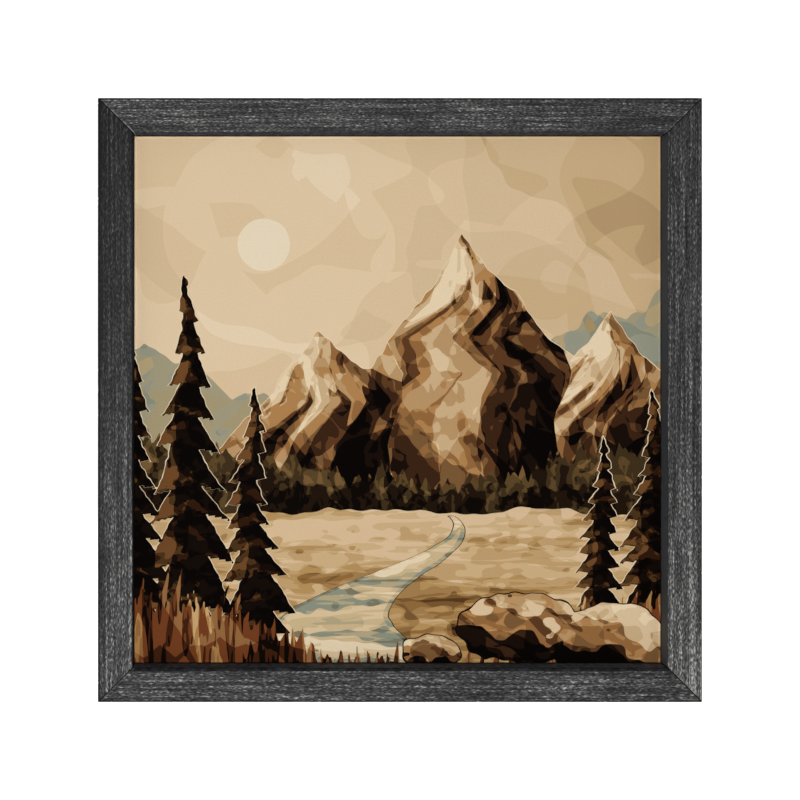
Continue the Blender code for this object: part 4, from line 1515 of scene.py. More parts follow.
@dataclass(frozen=True)
class PrintedCanvas:
    """Printed cotton canvas: flat dabs of colour layer over layer, a matt coat and a fine weave.

    Close to its edge the print is brightened by a gain, in three strips of the flat cloth with their
    weights: painted light against the lip's shadow and a painted highlight along the edge.
    """

    weave_pitch: float = 0.48 * MM
    rim_light_broad: Pair = (219.5 * MM, 224.8 * MM)
    rim_light_narrow: Pair = (222.8 * MM, 223.3 * MM)
    rim_light_left: Pair = (-224.8 * MM, -220.6 * MM)
    rim_light_weights: Triple = (0.20, 0.36, 0.45)
    rim_light_gain: Triple = (1.64, 1.64, 1.68)
    drift: Pair = (0.731, 0.417)
    weave_depth: float = 0.07 * MM

    def make(self, effects: Effects, layers: Sequence[PaintLayer]) -> Material:
        """Builds the material.

        Args:
            effects: the shared node groups.
            layers: the picture's layers, from the back forward.

        Returns:
            The material, which reads cloth and each layer's fields from the piece.
        """
        finish = Finish("printed_canvas_valley")
        b = finish.board
        cloth = b.attribute("cloth", "Vector")
        picture: object = linear("d8bf9a")
        for number, layer in enumerate(layers):
            picture = self.paint(b, effects.dabs, cloth, layer, number, picture)
        parts = b.add("ShaderNodeSeparateXYZ")
        b.feed(parts.inputs[0], cloth)
        reach = b.calc("MAXIMUM", *(b.calc("ABSOLUTE", parts.outputs[k]) for k in (0, 1)))
        # Painted light: the print is brightened near its edge, more on the left, against the lip's shadow,
        # with a narrow painted highlight at the edge.
        pale, bright, left = self.rim_light_weights
        rim = b.step(reach, *self.rim_light_broad, 0.0, pale)
        rim = b.calc("ADD", rim, b.step(reach, *self.rim_light_narrow, 0.0, bright))
        rim = b.calc("ADD", rim, b.step(parts.outputs[0], *self.rim_light_left, left, 0.0))
        picture = b.blend(rim, picture, b.vector("MULTIPLY", picture, self.rim_light_gain))
        weave = b.use(effects.weave, Vector=cloth, Pitch=self.weave_pitch)
        threads = b.ramp(weave["Slub"], ((0.3, "ececec"), (0.7, "ffffff")))
        raw = b.blend(1.0, linear("e2dccd"), threads, "MULTIPLY")
        ink = b.calc("MULTIPLY_ADD", b.noise(cloth, 400.0, 2.0).outputs[0], 0.0006, b.attribute("printed"))
        inked = b.calc("GREATER_THAN", ink, 0.0003)
        return finish.set(
            Base_Color=b.blend(inked, raw, b.blend(0.35, picture, threads, "MULTIPLY")),
            Roughness=b.calc("MULTIPLY_ADD", weave["Slub"], 0.12, 0.62),
            Specular_IOR_Level=0.02,
            Normal=b.bump(weave["Height"], self.weave_depth, 0.6),
        )

    def paint(
        self, b: NodeBoard, dab: NodeTree, cloth: Socket, layer: PaintLayer, number: int, under: object
    ) -> Socket:
        """Lays one layer over those below it.

        Args:
            b: the material's board.
            dab: the node group of the dabs.
            cloth: place on the flat cloth, in metres.
            layer: the layer.
            number: its number, which shifts its dabs.
            under: the colour below it.

        Returns:
            The colour with the layer on it.
        """
        moved = b.vector("ADD", cloth, (self.drift[0] * number, self.drift[1] * number, 0.0))
        scale = (*(1 / (size * MM) for size in layer.dab), 1.0)
        dabs = b.use(dab, Vector=moved, Scale=scale, Bend=layer.bend)["Tone"]
        wobble = b.calc("SUBTRACT", b.noise(moved, 1 / (layer.wobble_size * MM), 0.0).outputs[0], 0.5)
        shift = b.calc("MULTIPLY", wobble, layer.wobble * 2)
        tone = b.calc("MULTIPLY_ADD", dabs, layer.dab_weight, layer.base)
        for index, step in enumerate(layer.steps):
            above = b.calc("GREATER_THAN", b.calc("ADD", shift, b.attribute(f"{layer.name}_{index}")), 0.0)
            tone = b.calc("MULTIPLY_ADD", b.calc("SUBTRACT", above, 0.5), step.weight, tone)
        colour = b.ramp(tone, layer.colours, "CONSTANT")
        if layer.edge is None:
            return colour
        edge = b.calc("ADD", shift, b.attribute(layer.name + "_edge"))
        if layer.rim:
            under = b.blend(b.calc("GREATER_THAN", edge, -0.0036), under, linear(layer.rim))
        return b.blend(b.calc("GREATER_THAN", edge, 0.0), under, colour)


@dataclass(frozen=True)
class SheetMap:
    """Where the sheet lies in the unit square: its face, four strips above it, its inner side beside it."""

    margin: float = 0.005
    face: float = 0.88
    strips: float = 0.889
    strip_pitch: float = 0.0275
    strip_height: float = 0.0265
    inner: float = 0.105
    inner_place: Pair = (0.944, 0.06)

    def ring(self, k: Array, count: int, places: Sequence[Pair]) -> Array:
        """Lays faces of a square ring in thin strips, one strip for each side."""
        side, step = k // count, k % count
        u = [self.margin + self.face * (step + along) / count for along, _ in places]
        v = [self.strips + self.strip_pitch * side + up for _, up in places]
        return np.stack([np.stack(u, 1), np.stack(v, 1)], -1)


@dataclass
class Canvas:
    """The stretched canvas: one closed sheet, drawn over the bars and folded flat behind them.

    The face is a square grid. Square rings carry it round the front fold, along the sides, round the
    back fold and over the turnover to its raw edge, then back inside at the cloth's thickness.
    """

    cells: int = 264
    thickness: float = 0.6 * MM
    fold: float = 0.9 * MM
    turnover: float = 24 * MM
    crown: float = 0.25 * MM
    bleed: float = 11 * MM
    layout: SheetMap = SheetMap()

    def __post_init__(self) -> None:
        """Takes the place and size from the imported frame."""
        low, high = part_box("canvas")
        self.half = (high.x - low.x) / 2
        self.front, self.back = low.y, high.y
        self.middle = np.array([(low.x + high.x) / 2, 0.0, (low.z + high.z) / 2])

    def rings(self) -> tuple[Array, Array]:
        """Works out the rings after the face's own edge.

        Returns:
            Rows of half size, y and distance along the cloth outside, then the same inside.
        """
        h, r, t = self.half, self.fold, self.thickness
        quarter = np.linspace(0, math.pi / 2, 4)[1:]
        outside = [(h - r + r * math.sin(a), self.front + r - r * math.cos(a)) for a in quarter]
        outside += [(h, y) for y in np.linspace(self.front + r, self.back - r, 5)[1:-1]]
        outside += [(h - r + r * math.cos(a), self.back - r + r * math.sin(a)) for a in (0, *quarter)]
        outside += [(x, self.back) for x in np.linspace(h - r, h - self.turnover, 6)[1:]]
        inside = [(h - self.turnover, self.back - t)]
        inside += [(h - t - (r - t) * 1.5, self.back - t), (h - t, self.back - r), (h - t, self.front + r)]
        inside += [(h - t - (r - t) * 1.5, self.front + t)]
        return np.array(outside), np.array(inside)

    def square(self, half: float, y: float, count: int) -> Array:
        """Points round a square at a depth, count to each side, from its lower left corner."""
        t = np.linspace(-1, 1, count + 1)[:-1]
        ones = np.ones(count)
        x = np.concatenate([t, ones, -t, -ones]) * half
        z = np.concatenate([-ones, t, ones, -t]) * half
        return np.stack([x, np.full(4 * count, y), z], 1)

    def grid(self, half: float, y: float, cells: int, crown: float) -> tuple[Array, Array, Array]:
        """A flat square grid.

        Args:
            half: half its side.
            y: its depth.
            cells: cells along a side.
            crown: how far its middle stands forward.

        Returns:
            Points, faces and the point numbers round its edge, in the order of square().
        """
        t = np.linspace(-1, 1, cells + 1)
        a, c = np.meshgrid(t, t)
        rise = crown * ((1 - a**2) * (1 - c**2)) ** 0.7
        points = np.stack([a * half, y - rise, c * half], -1).reshape(-1, 3)
        k, n = np.arange(cells), cells + 1
        edge = np.concatenate([k, k * n + cells, n * cells + cells - k, (cells - k) * n])
        return points, grid_quads(cells), edge

    def surface(self) -> Surface:
        """Joins the face, the rings and the inner side into one closed sheet, with its bake places."""
        n, lay = self.cells, self.layout
        points, quads, edge = self.grid(self.half - self.fold, self.front, n, self.crown)
        across = points[quads][..., [0, 2]] / (2 * (self.half - self.fold))
        face_map = (across + 0.5) * lay.face + lay.margin
        outside, inside = self.rings()
        parts, all_quads, quad_maps = [points], [quads], [face_map]
        triangles, triangle_maps = [], []
        total, previous, width = len(points), edge, 0.0
        profile = np.concatenate([outside, inside])
        steps = np.hypot(*np.diff(np.vstack([[self.half - self.fold, self.front], profile]), axis=0).T)
        scale = lay.strip_height / steps.sum()
        for number, (half, y) in enumerate(profile):
            count = n if number < 2 else n // 2 if number < len(profile) - 1 else n // 4
            ring = self.square(half, y, count)
            index = total + np.arange(4 * count)
            parts.append(ring)
            total += len(ring)
            start, width = width, width + steps[number] * scale
            k = np.arange(4 * count)
            if 4 * count == len(previous):
                all_quads.append(np.stack([previous, index, np.roll(index, -1), np.roll(previous, -1)], 1))
                quad_maps.append(lay.ring(k, count, ((0, start), (0, width), (1, width), (1, start))))
            else:
                a, mid, c = previous[2 * k], previous[2 * k + 1], np.roll(previous, -2)[2 * k]
                d, e = index, np.roll(index, -1)
                for corners, places in (
                    ((a, d, mid), ((0, start), (0, width), (0.5, start))),
                    ((mid, d, e), ((0.5, start), (0, width), (1, width))),
                    ((mid, e, c), ((0.5, start), (1, width), (1, start))),
                ):
                    triangles.append(np.stack(corners, 1))
                    triangle_maps.append(lay.ring(k, count, places))
            previous = index
        last_half, last_y = profile[-1]
        inner, inner_quads, inner_edge = self.grid(last_half, last_y, n // 4, self.crown)
        is_edge = np.zeros(len(inner), bool)
        is_edge[inner_edge] = True
        renumber = np.empty(len(inner), int)
        renumber[inner_edge] = previous
        renumber[~is_edge] = total + np.arange((~is_edge).sum())
        parts.append(inner[~is_edge])
        all_quads.append(renumber[inner_quads][:, ::-1])
        small = inner[inner_quads][..., [0, 2]] / (2 * last_half) * lay.inner + lay.inner_place
        quad_maps.append(small[:, ::-1])
        return Surface(
            np.concatenate(parts) + self.middle,
            np.concatenate(all_quads),
            np.concatenate(triangles),
            np.concatenate(quad_maps),
            np.concatenate(triangle_maps),
        )

    def cloth_places(self, points: Array) -> tuple[Array, Array]:
        """Lays each point back on the flat cloth.

        Args:
            points: points of the sheet.

        Returns:
            Rows of flat x, flat z and layer, and how far inside the printed part each point lies.
        """
        local = points - self.middle
        reach = np.maximum(np.abs(local[:, 0]), np.abs(local[:, 2]))
        depth = points[:, 1] - self.front
        side = reach > self.half - self.fold
        inner = (reach < self.half - self.thickness / 2) & (depth > self.thickness / 2)
        behind = (points[:, 1] > self.back - self.fold) & (reach < self.half - self.fold * 0.5)
        extra = np.where(side, np.maximum(depth, 0), 0.0)
        extra = np.where(behind, (self.back - self.front) + 2 * (self.half - reach), extra)
        across = local[:, [0, 2]]
        unfolds = np.abs(across) >= reach[:, None] - 0.01 * MM
        flat = np.column_stack([across + np.sign(across) * unfolds * extra[:, None], np.zeros(len(local))])
        printed = np.where(inner | behind, -0.01, self.bleed - extra)
        return flat, printed

    def build(
        self, layers: Sequence[PaintLayer], finish: Material, pleats: Object
    ) -> Object:
        """Builds the sheet with the picture's fields.

        Args:
            layers: the picture's layers.
            finish: its material.
            pleats: the folds at its corners; not used.

        Returns:
            The piece.
        """
        surface = self.surface()
        cloth, printed = self.cloth_places(surface.points)
        u, v = cloth[:, 0] / self.half, cloth[:, 1] / self.half
        surface.attributes = {"cloth": cloth, "printed": printed}
        for layer in layers:
            surface.attributes |= layer.fields(u, v)
        piece = surface.into_object("canvas_print", finish, 60)
        show(piece, "printed_canvas", "canvas")
        return piece


# --- Steel and rubber on the back ---


def swept_bar(
    path: Array, across: Array, low: Array, high: Array, thickness: Array, edge: float
) -> Surface:
    """Carries a flat bar along a path.

    A ring's corners are quarter circles. Each has one more point on the flat beside it, which keeps the
    flat's shading even.

    Args:
        path: rows of x, y, z along the bar's middle plane.
        across: unit direction across the bar, at right angles to the path.
        low: where one edge lies across, at each point of the path.
        high: where the other edge lies.
        thickness: the bar's thickness at each point.
        edge: radius of the rounded edges.

    Returns:
        The closed surface.
    """
    tangent = np.gradient(path, axis=0)
    tangent /= np.linalg.norm(tangent, axis=1)[:, None]
    normal = np.cross(tangent, across)
    rows = []
    for corner, (outer, upper) in enumerate(((1, 1), (-1, 1), (-1, -1), (1, -1))):
        turn = np.linspace(0, math.pi / 2, 4)[None] + corner * math.pi / 2
        middle = np.where(outer > 0, high - edge, low + edge)[:, None]
        side = middle + edge * np.cos(turn)
        rise = upper * (thickness / 2 - edge)[:, None] + edge * np.sin(turn)
        flat_side, flat_rise = middle - outer * edge * 0.8, upper * (thickness / 2)[:, None]
        order = 1 if corner % 2 == 0 else -1
        side = np.concatenate((side, flat_side)[::order], axis=1)
        rise = np.concatenate((rise, flat_rise)[::order], axis=1)
        rows.append(path[:, None] + side[..., None] * across + rise[..., None] * normal[:, None])
    rings = np.concatenate(rows, axis=1)
    return closed_rings(rings, rings[0].mean(0), rings[-1].mean(0))


def closed_rings(rings: Array, first: Array, last: Array) -> Surface:
    """Joins rings of points in order and closes each end with a fan round a middle point.

    Args:
        rings: the points of each ring.
        first: middle point of the first end.
        last: middle point of the last end.

    Returns:
        The closed surface, which faces out if each ring runs clockwise, seen along the way they go.
    """
    rows, count = rings.shape[:2]
    m, end = np.arange(count), (rows - 1) * count
    ahead, pole = (m + 1) % count, rows * count
    start_fan = np.stack([np.full(count, pole), ahead, m], 1)
    end_fan = np.stack([np.full(count, pole + 1), end + m, end + ahead], 1)
    points = np.concatenate([rings.reshape(-1, 3), [first, last]])
    return Surface(points, wall_quads(rows, count)[0], np.concatenate([start_fan, end_fan]))


def turned_piece(
    profile: Sequence[Pair],
    place: Array,
    count: int = 48,
    dent: Callable[[Array, Array], Array] | None = None,
) -> Surface:
    """A round piece whose axis points at the wall: at angle a its points are (r cos a, h, -r sin a).

    Args:
        profile: radius and height, from the top's middle to the bottom's middle.
        place: x, y, z where its axis has height 0.
        count: points round it.
        dent: how far the top is sunk, by place across it.

    Returns:
        The closed surface.
    """
    radius, height = np.array(profile).T
    angle = np.arange(count) * 2 * math.pi / count
    x, z = radius[1:-1, None] * np.cos(angle), -radius[1:-1, None] * np.sin(angle)
    y = np.broadcast_to(height[1:-1, None], x.shape).copy()
    top = height[0]
    if dent is not None:
        upper = (height[1:-1] > 0)[:, None]
        y = y - np.where(upper, dent(x, z), 0.0)
        top = top - float(dent(np.zeros(1), np.zeros(1))[0])
    rings = np.stack([x, y, z], -1) + place
    piece = closed_rings(rings, np.array([0, top, 0]) + place, np.array([0, height[-1], 0]) + place)
    piece.quads, piece.triangles = piece.quads[:, ::-1], piece.triangles[:, ::-1]
    return piece


def rounded_end(distance: Array, radius: float) -> Array:
    """How far a plate's edge draws in, at a distance from its end, for a rounded corner."""
    left = np.clip(radius - distance, 0, radius)
    return radius - np.sqrt(radius**2 - left**2)


def thinned(steel: float, distance: Array) -> Array:
    """A plate's thickness, which falls off close to its ends."""
    return steel - 0.3 * MM * (1 - smooth_step(distance, 0, 0.25 * MM))


def end_spacing(radius: float) -> Array:
    """Distances from a plate's end that follow its rounded corner evenly by angle."""
    return radius * (1 - np.cos(np.linspace(0, math.pi / 2, 8)))


@dataclass
class Clips:
    """Eight stepped steel clips that hold the stretcher in the rabbet, each with a cross-head screw."""

    places: tuple[float, ...] = (-130 * MM, 130 * MM)
    width: float = 14 * MM
    steel: float = 1.2 * MM
    outer_end: float = 10 * MM
    step: float = 24.9 * MM
    inner_end: float = 40 * MM
    bend: float = 0.95 * MM
    corner: float = 3.5 * MM
    screw_inset: float = 17.2 * MM
    head: float = 3.4 * MM
    shank: float = 1.5 * MM
    dome: Pair = (0.75 * MM, 1.2 * MM)  # the height it starts from and its rise
    tip: Pair = (-9 * MM, -11.8 * MM)  # where the point starts and ends
    recess: float = 3.9 * MM
    recess_depth: float = 1.05 * MM
    slot: float = 0.9 * MM
    slot_blur: float = 0.10 * MM

    def path(self, wood: float, cloth: float, top: float) -> Array:
        """The clip's middle line: a tab on the wood, a step down with two bends and a tab on the cloth."""
        upper, lower, r = wood + self.steel / 2, cloth + self.steel / 2, self.bend
        turn = np.linspace(0, math.pi / 2, 7)
        first = self.outer_end + end_spacing(self.corner)
        flat_a = np.linspace(first[-1], self.step - r, 7)[1:-1]
        bend_a = [(self.step - r + r * math.sin(a), upper - r + r * math.cos(a)) for a in turn]
        bend_b = [(self.step + r - r * math.cos(a), lower + r - r * math.sin(a)) for a in turn]
        last = self.inner_end - end_spacing(self.corner)[::-1]
        flat_b = np.linspace(self.step + r, last[0], 6)[1:-1]
        tab_a, tab_b = [(a, upper) for a in (*first, *flat_a)], [(a, lower) for a in (*flat_b, *last)]
        inset, y = np.array(tab_a + bend_a + bend_b + tab_b).T
        return np.stack([np.zeros(len(y)), y, top - inset], 1)

    def plate(self, x: float, wood: float, cloth: float, top: float) -> Surface:
        """One clip at a place along the side."""
        path = self.path(wood, cloth, top)
        steps = np.linalg.norm(np.diff(path, axis=0), axis=1)
        run = np.concatenate([[0], np.cumsum(steps)])
        end = np.minimum(run, run[-1] - run)
        half = self.width / 2 - rounded_end(end, self.corner)
        thick = thinned(self.steel, end)
        return swept_bar(path + (x, 0, 0), np.array([1.0, 0, 0]), -half, half, thick, 0.28 * MM)

    def screw(self, place: Array, angle: float) -> Surface:
        """A pan-head screw with a tapered cross recess, turned to an angle."""
        t = np.linspace(0, math.pi / 2, 22)
        dome = [(self.head * math.sin(a), self.dome[0] + self.dome[1] * math.cos(a)) for a in t]
        rim = [(self.head, 0.35 * MM), (self.head - 0.12 * MM, 0.0), (self.shank, -0.01 * MM)]
        tip = [(self.shank, self.tip[0]), (0.3 * MM, -11.6 * MM), (0.0, self.tip[1])]

        def cross(x: Array, z: Array) -> Array:
            """Depth of the recess: two crossed slots that get shallower outwards."""
            a = x * math.cos(angle) + z * math.sin(angle)
            c = z * math.cos(angle) - x * math.sin(angle)
            half = self.recess / 2
            depth = np.zeros(x.shape)
            for along, side in ((a, c), (c, a)):
                width = self.slot / 2 * (1.15 - 0.3 * np.abs(along) / half)
                inside = 1 - smooth_step(np.abs(side), width - self.slot_blur, width + self.slot_blur)
                fall = np.clip(1 - (np.abs(along) / half) ** 2.2, 0, 1)
                depth = np.maximum(depth, inside * fall)
            return self.recess_depth * depth

        return turned_piece(dome + rim + tip, place, 72, cross)

    def build(self, finish: Material, middle: Array, top: float) -> None:
        """Builds every clip and screw, each in place of its CAD node."""
        wood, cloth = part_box("rail_top")[1].y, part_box("canvas")[1].y
        random = np.random.default_rng(5)
        for side in Side:
            for number, x in enumerate(self.places, start=1):
                label = f"{side.label}_{number}"
                plate = self.plate(x, wood, cloth, top).turned(side, middle)
                show(plate.into_object(f"clip_plate_{label}", finish, 50), "zinc_steel", f"clip_{label}")
                seat = np.array([x, wood + self.steel, top - self.screw_inset])
                screw = self.screw(seat, random.uniform(0, math.pi / 2)).turned(side, middle)
                show(screw.into_object(f"pan_screw_{label}", finish, 50), "zinc_steel", f"screw_{label}")


@dataclass
class Hanger:
    """The sawtooth hanger: flat nailed ends, two ramps and a raised middle with notches below."""

    half_length: float = 32 * MM
    half_height: float = 5.5 * MM
    steel: float = 1.0 * MM
    inset: float = 12 * MM
    corner: float = 2.5 * MM
    ramp: Pair = (21.7 * MM, 25.3 * MM)
    pitch: float = 2.6 * MM
    tooth: float = 1.6 * MM
    notches: int = 15
    nail_place: float = 28.6 * MM
    nail_head: float = 2.2 * MM

    def build(self, finish: Material, top: float) -> None:
        """Builds the hanger and its nails, each in place of its CAD node."""
        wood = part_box("rail_top")[1].y
        ends = self.half_length - end_spacing(self.corner)
        teeth = np.arange(-self.notches * 3, self.notches * 3 + 1) * self.pitch / 6
        slopes = np.linspace(self.ramp[1] + 0.5 * MM, self.ramp[0] - 0.5 * MM, 12)
        x = np.concatenate([-ends, -slopes, teeth, slopes[::-1], ends[::-1]])
        low_y, high_y = wood + self.steel / 2, -self.steel / 2
        y = high_y + (low_y - high_y) * smooth_step(np.abs(x), *self.ramp)
        notch = np.abs((x / self.pitch + 0.5) % 1 - 0.5) * 2
        toothed = np.abs(x) <= self.notches * self.pitch / 2
        cut = np.where(toothed, self.tooth * (1 - notch), 0.0)
        end = self.half_length - np.abs(x)
        draw_in = rounded_end(end, self.corner)
        path = np.stack([x, y, np.full(len(x), top - self.inset)], 1)
        low, high = draw_in + cut - self.half_height, self.half_height - draw_in
        plate = swept_bar(path, np.array([0, 0, 1.0]), low, high, thinned(self.steel, end), 0.22 * MM)
        show(plate.into_object("sawtooth_hanger", finish, 35), "zinc_steel", "hanger")
        r = self.nail_head
        head = [(0, 1.1), (0.4 * r / MM, 1.09), (0.75 * r / MM, 1.02), (0.93 * r / MM, 0.86), (r / MM, 0.6)]
        shank = [(r / MM, 0.15), (r / MM - 0.15, 0), (0.75, -0.01), (0.75, -7), (0.1, -8.6), (0, -8.7)]
        profile = np.array(head + shank) * MM
        for number, place in enumerate((-self.nail_place, self.nail_place), start=1):
            nail = turned_piece(profile, np.array([place, wood + self.steel, top - self.inset]))
            pin = nail.into_object(f"hanger_pin_{number}", finish, 40)
            show(pin, "zinc_steel", f"hanger_nail_{number}")


@dataclass
class Bumpers:
    """Two soft rubber bumpers near the ends of the bottom rail, with a fluted foot and a rounded pad."""

    radius: float = 5 * MM
    edge: float = 1.9 * MM
    setback: float = 30 * MM
    inset: float = 12 * MM

    def build(self, finish: Material, bottom: float, half: float) -> None:
        """Builds both, each in place of its CAD node."""
        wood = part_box("rail_bottom")[1].y
        height, r, e = -wood, self.radius, self.edge
        turn = np.linspace(0, math.pi / 2, 9)
        profile = [(0.0, height), (0.5 * (r - e), height)]
        profile += [(r - e + e * math.sin(a), height - e + e * math.cos(a)) for a in turn]
        profile += [(r, 1.3 * MM), (r - 0.12 * MM, 1.0 * MM), (r, 0.7 * MM)]
        profile += [(r, 0.1 * MM), (r - 0.1 * MM, 0), (0, 0)]
        for name, sign in (("left", -1), ("right", 1)):
            place = np.array([sign * (half - self.setback), wood, bottom + self.inset])
            pad = turned_piece(profile, place, 64)
            show(pad.into_object(f"bumper_dome_{name}", finish, 40), "bumper_rubber", f"bumper_{name}")


@dataclass
class CanvasFixings:
    """What holds the cloth behind the bars, pleats and staples, and the moulding's joint nails."""

    staple_places: tuple[float, ...] = (-204, -186, -158, -102, -68, -34, 0, 34, 68, 102, 158, 186, 204)
    staple_reach: float = 4.75 * MM
    staple_setback: float = 16.5 * MM
    on_cloth: float = 0.22 * MM
    on_pleat: float = 0.75 * MM
    wire: Pair = (1.2 * MM, 0.5 * MM)
    pleat: float = 27 * MM
    turnover: float = 24 * MM
    nail_insets: tuple[float, ...] = (7.5 * MM, 17 * MM)

    def staple(self, place: Array, tilt: float) -> Surface:
        """A staple: a crown on the cloth and two legs into the wood, with bends of 0.6 mm."""
        r, reach = 0.6 * MM, self.staple_reach
        turn = np.linspace(0, math.pi / 2, 5)
        left = [(-reach, -2.5 * MM)] + [(-reach + r - r * math.cos(a), -r + r * math.sin(a)) for a in turn]
        line = np.array(left + [(-x, y) for x, y in left[::-1]])
        path = np.stack([line[:, 0] * math.cos(tilt), line[:, 1], line[:, 0] * math.sin(tilt)], 1) + place
        across = np.array([-math.sin(tilt), 0, math.cos(tilt)])
        half, thick = np.full(len(path), self.wire[0] / 2), np.full(len(path), self.wire[1])
        return swept_bar(path, across, -half, half, thick, 0.2 * MM)

    def staples(self, middle: Array, half: float, cloth: float) -> Surface:
        """All the staples: one row to each side, each a little off its place and line."""
        random = np.random.default_rng(17)
        made = []
        for side in Side:
            for x in self.staple_places:
                shift = random.uniform(-1.2, 1.2, 2) * MM
                height = self.on_pleat if abs(x) > 200 else self.on_cloth
                row = middle[2] + half - self.staple_setback
                place = np.array([x * MM + shift[0], cloth + height, row + shift[1]])
                made.append(self.staple(place, random.uniform(-0.10, 0.10)).turned(side, middle))
        return merged(made)

    def pleats(self, middle: Array, half: float, cloth: float) -> Surface:
        """The folded cloth at each corner: a flap from the diagonal fold that thins out along the bar."""
        s, t = np.meshgrid(np.linspace(0, 1, 33), np.linspace(0, 1, 25))
        outer, inner = half - 0.8 * MM, half - self.turnover - 0.1 * MM
        fold = np.stack([outer + t * (inner - outer)] * 2, -1)
        far = np.stack([np.full(t.shape, half - self.pleat), fold[..., 0]], -1)
        flat = fold + (s**1.2)[..., None] * (far - fold)
        lip = np.sqrt(np.clip(1 - (1 - np.minimum(s / 0.05, 1)) ** 2, 0, 1))
        ripple = 0.10 * MM * np.sin(9 * s + 4 * t) * np.sin(math.pi * s)
        height = lip * (0.15 + 0.85 * (1 - smooth_step(s, 0.15, 1.0))) * 1.05 * MM + ripple
        height = height * (0.55 + 0.45 * smooth_step(t, 0.0, 0.15)) * (1 - 0.7 * smooth_step(t, 0.96, 1.0))
        upper = np.stack([flat[..., 0], cloth + 0.02 * MM + height, middle[2] + flat[..., 1]], -1)
        lower = upper.copy()
        lower[..., 1] = cloth - 0.10 * MM
        rings = np.concatenate([upper, lower[::-1]])
        made = []
        for side in Side:
            piece = closed_rings(rings.transpose(1, 0, 2), rings[:, 0].mean(0), rings[:, -1].mean(0))
            x, _, z = piece.points.T
            piece.attributes = {
                "cloth": np.stack([x, z, np.full(len(x), 0.02)], 1),
                "printed": np.full(len(x), -0.01),
            }
            made.append(piece.turned(side, middle))
        return merged(made)

    def joint_nails(self, middle: Array, half: float, wood: float) -> Surface:
        """V-shaped nails across each mitre, driven flush into the moulding's back."""
        leg, spread = 4.6 * MM, math.radians(52)
        angles = np.array([[math.pi / 4 - spread], [math.pi / 4 + spread]])
        arms = -np.hstack([np.cos(angles), np.sin(angles)]) * leg
        t = np.linspace(1, 0, 7)[:, None]
        softer = np.array([[0.2], [0.45], [0.2]])
        made = []
        for side in Side:
            for inset in self.nail_insets:
                corner = np.array([half - inset, half - inset])
                bend = np.concatenate([corner + t * arms[0], corner + t[-2::-1] * arms[1]])
                bend[5:8] += 0.12 * (bend[[2, 2, 2]] + bend[[10, 10, 10]] - 2 * corner) * softer
                ones = np.ones(len(bend))
                path = np.stack([bend[:, 0], wood * ones, middle[2] + bend[:, 1]], 1)
                low, high, thick = -7 * MM * ones, 0.14 * MM * ones, 0.5 * MM * ones
                nail = swept_bar(path, np.array([0, 1.0, 0]), low, high, thick, 0.12 * MM)
                made.append(nail.turned(side, middle))
        return merged(made)


# --- Studio ---


LAMPS = {  # place from the picture's middle, side of the square and watts
    "key": ((-0.42, -2.4, -0.36), 0.8, 29.0),
    "fill": ((0.40, -2.4, 0.46), 0.8, 13.5),
    "back": ((-1.0, 1.9, 1.1), 1.6, 26.0),
}


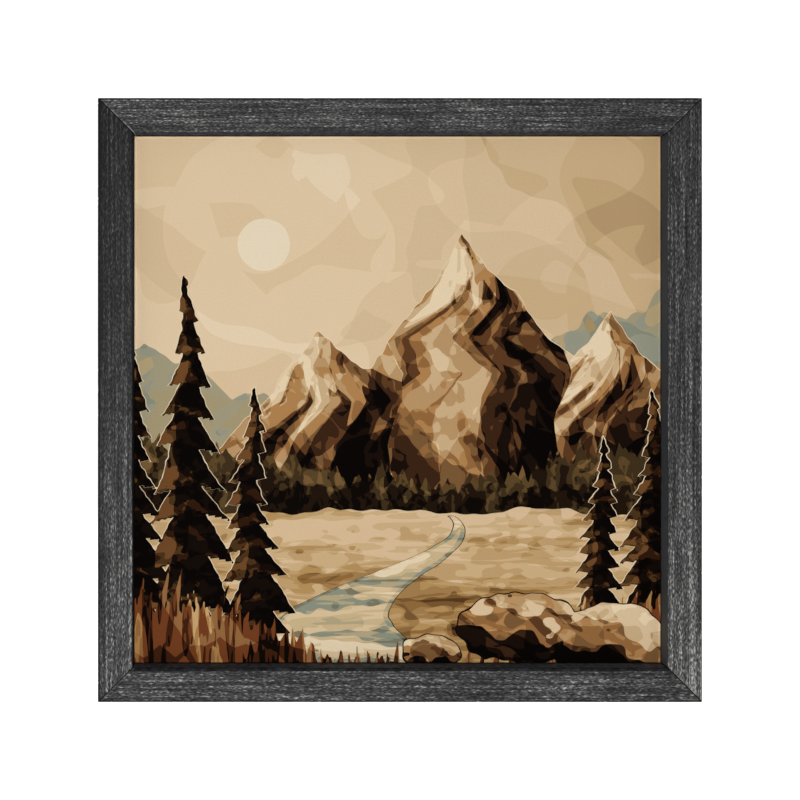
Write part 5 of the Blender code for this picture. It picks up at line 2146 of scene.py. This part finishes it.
@dataclass
class Studio:
    """White floor, pale surroundings, soft lights and the camera square on to the picture."""

    floor_drop: float = 0.36
    floor_reach: float = 9.0
    floor_cells: int = 12
    distance: float = 0.65
    side_step: float = -0.118
    rise: float = 0.026
    view_width: float = 0.6707
    sensor: float = 36.0
    nudge: Pair = (-0.19 * MM, 0.10 * MM)

    def build(self, middle: Array, front: float, bottom: float) -> None:
        """Sets up everything round the object.

        Args:
            middle: the picture's middle.
            front: y of the moulding's face.
            bottom: z of its lowest edge.
        """
        self.camera(middle, front)
        self.floor(bottom - self.floor_drop)
        self.surroundings()
        centre = np.array([0.0, front, middle[2]])
        for name, (place, size, power) in LAMPS.items():
            self.lamp(name, place, centre, size, power)
        bpy.context.scene.view_settings.view_transform = "Standard"

    def camera(self, middle: Array, front: float) -> None:
        """A level camera along +Y, off to the left and above, shifted to keep the picture centred."""
        data = bpy.data.cameras.new("camera")
        data.sensor_width = self.sensor
        data.lens = self.sensor * self.distance / self.view_width
        data.shift_x = (middle[0] - self.side_step + self.nudge[0]) / self.view_width
        data.shift_y = (self.nudge[1] - self.rise) / self.view_width
        data.clip_start, data.clip_end = 0.05, 50.0
        camera = linked("camera", data)
        camera.location = (self.side_step, front - self.distance, middle[2] + self.rise)
        camera.rotation_euler = (math.pi / 2, 0, 0)
        bpy.context.scene.camera = camera

    def floor(self, height: float) -> None:
        """A wide flat floor well below the hanging picture."""
        t = np.linspace(-self.floor_reach, self.floor_reach, self.floor_cells + 1)
        x, y = np.meshgrid(t, t)
        points = np.stack([x, y, np.full(x.shape, height)], -1).reshape(-1, 3)
        floor = Surface(points, grid_quads(self.floor_cells))
        floor.into_object("studio_floor", StudioFloor().make())

    def surroundings(self) -> None:
        """A white room to the eye; as light it is softer, and dimmer from the camera's side."""
        world = bpy.data.worlds.new("studio")
        world.use_nodes = True
        bpy.context.scene.world = world
        b = NodeBoard(world.node_tree)
        light = next(n for n in b.tree.nodes if n.type == "BACKGROUND")
        split = b.add("ShaderNodeSeparateXYZ")
        b.feed(split.inputs[0], b.add("ShaderNodeTexCoord").outputs["Generated"])
        facing = b.step(split.outputs[1], -1.0, 0.2, 0.20, 0.17)
        seen = b.add("ShaderNodeLightPath").outputs["Is Camera Ray"]
        b.feed(light.inputs["Color"], (1.0, 1.0, 1.0, 1.0))
        b.feed(light.inputs["Strength"], b.calc("MAXIMUM", b.calc("MULTIPLY", seen, 1.1), facing))

    def lamp(self, name: str, place: Sequence[float], target: Array, size: float, power: float) -> None:
        """A large square soft box aimed at the picture.

        Args:
            name: its name.
            place: its place from the picture's middle.
            target: the point it faces.
            size: its side.
            power: its power in watts.
        """
        data = bpy.data.lights.new(name, "AREA")
        data.shape, data.size, data.energy = "SQUARE", size, power
        lamp = linked(name, data)
        lamp.location = target + np.array(place)
        lamp.rotation_euler = Vector(-np.array(place)).to_track_quat("-Z", "Y").to_euler()


def main() -> None:
    """Builds each part of the picture in order, then the studio round it."""
    logging.basicConfig(level=logging.INFO, format="%(name)s: %(message)s")
    effects = Effects()
    zinc = ZincSteel().make(effects)
    wire = ZincSteel("staple_wire", "b4b6b8", "85878a", 0.30).make(effects)
    moulding = Moulding()
    moulding.build(CharcoalPaint().make(effects))
    Stretcher().build(PineWood().make(effects))
    layers, canvas, fixings = valley_layers(), Canvas(), CanvasFixings()
    cloth = PrintedCanvas().make(effects, layers)
    pleats = fixings.pleats(canvas.middle, canvas.half, canvas.back).into_object("corner_pleats", cloth, 50)
    show(pleats, "printed_canvas")
    canvas.build(layers, cloth, pleats)
    staples = fixings.staples(canvas.middle, canvas.half, canvas.back)
    show(staples.into_object("canvas_staples", wire, 50), "zinc_steel")
    nails = fixings.joint_nails(moulding.middle, moulding.half_side, moulding.back)
    show(nails.into_object("joint_nails", wire, 50), "zinc_steel")
    Clips().build(zinc, moulding.middle, moulding.top)
    Hanger().build(zinc, moulding.top)
    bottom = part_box("rail_bottom")[0].z
    Bumpers().build(BumperRubber().make(effects), bottom, moulding.half_side)
    Studio().build(moulding.middle, moulding.front, bottom)


if __name__ == "__main__":
    main()
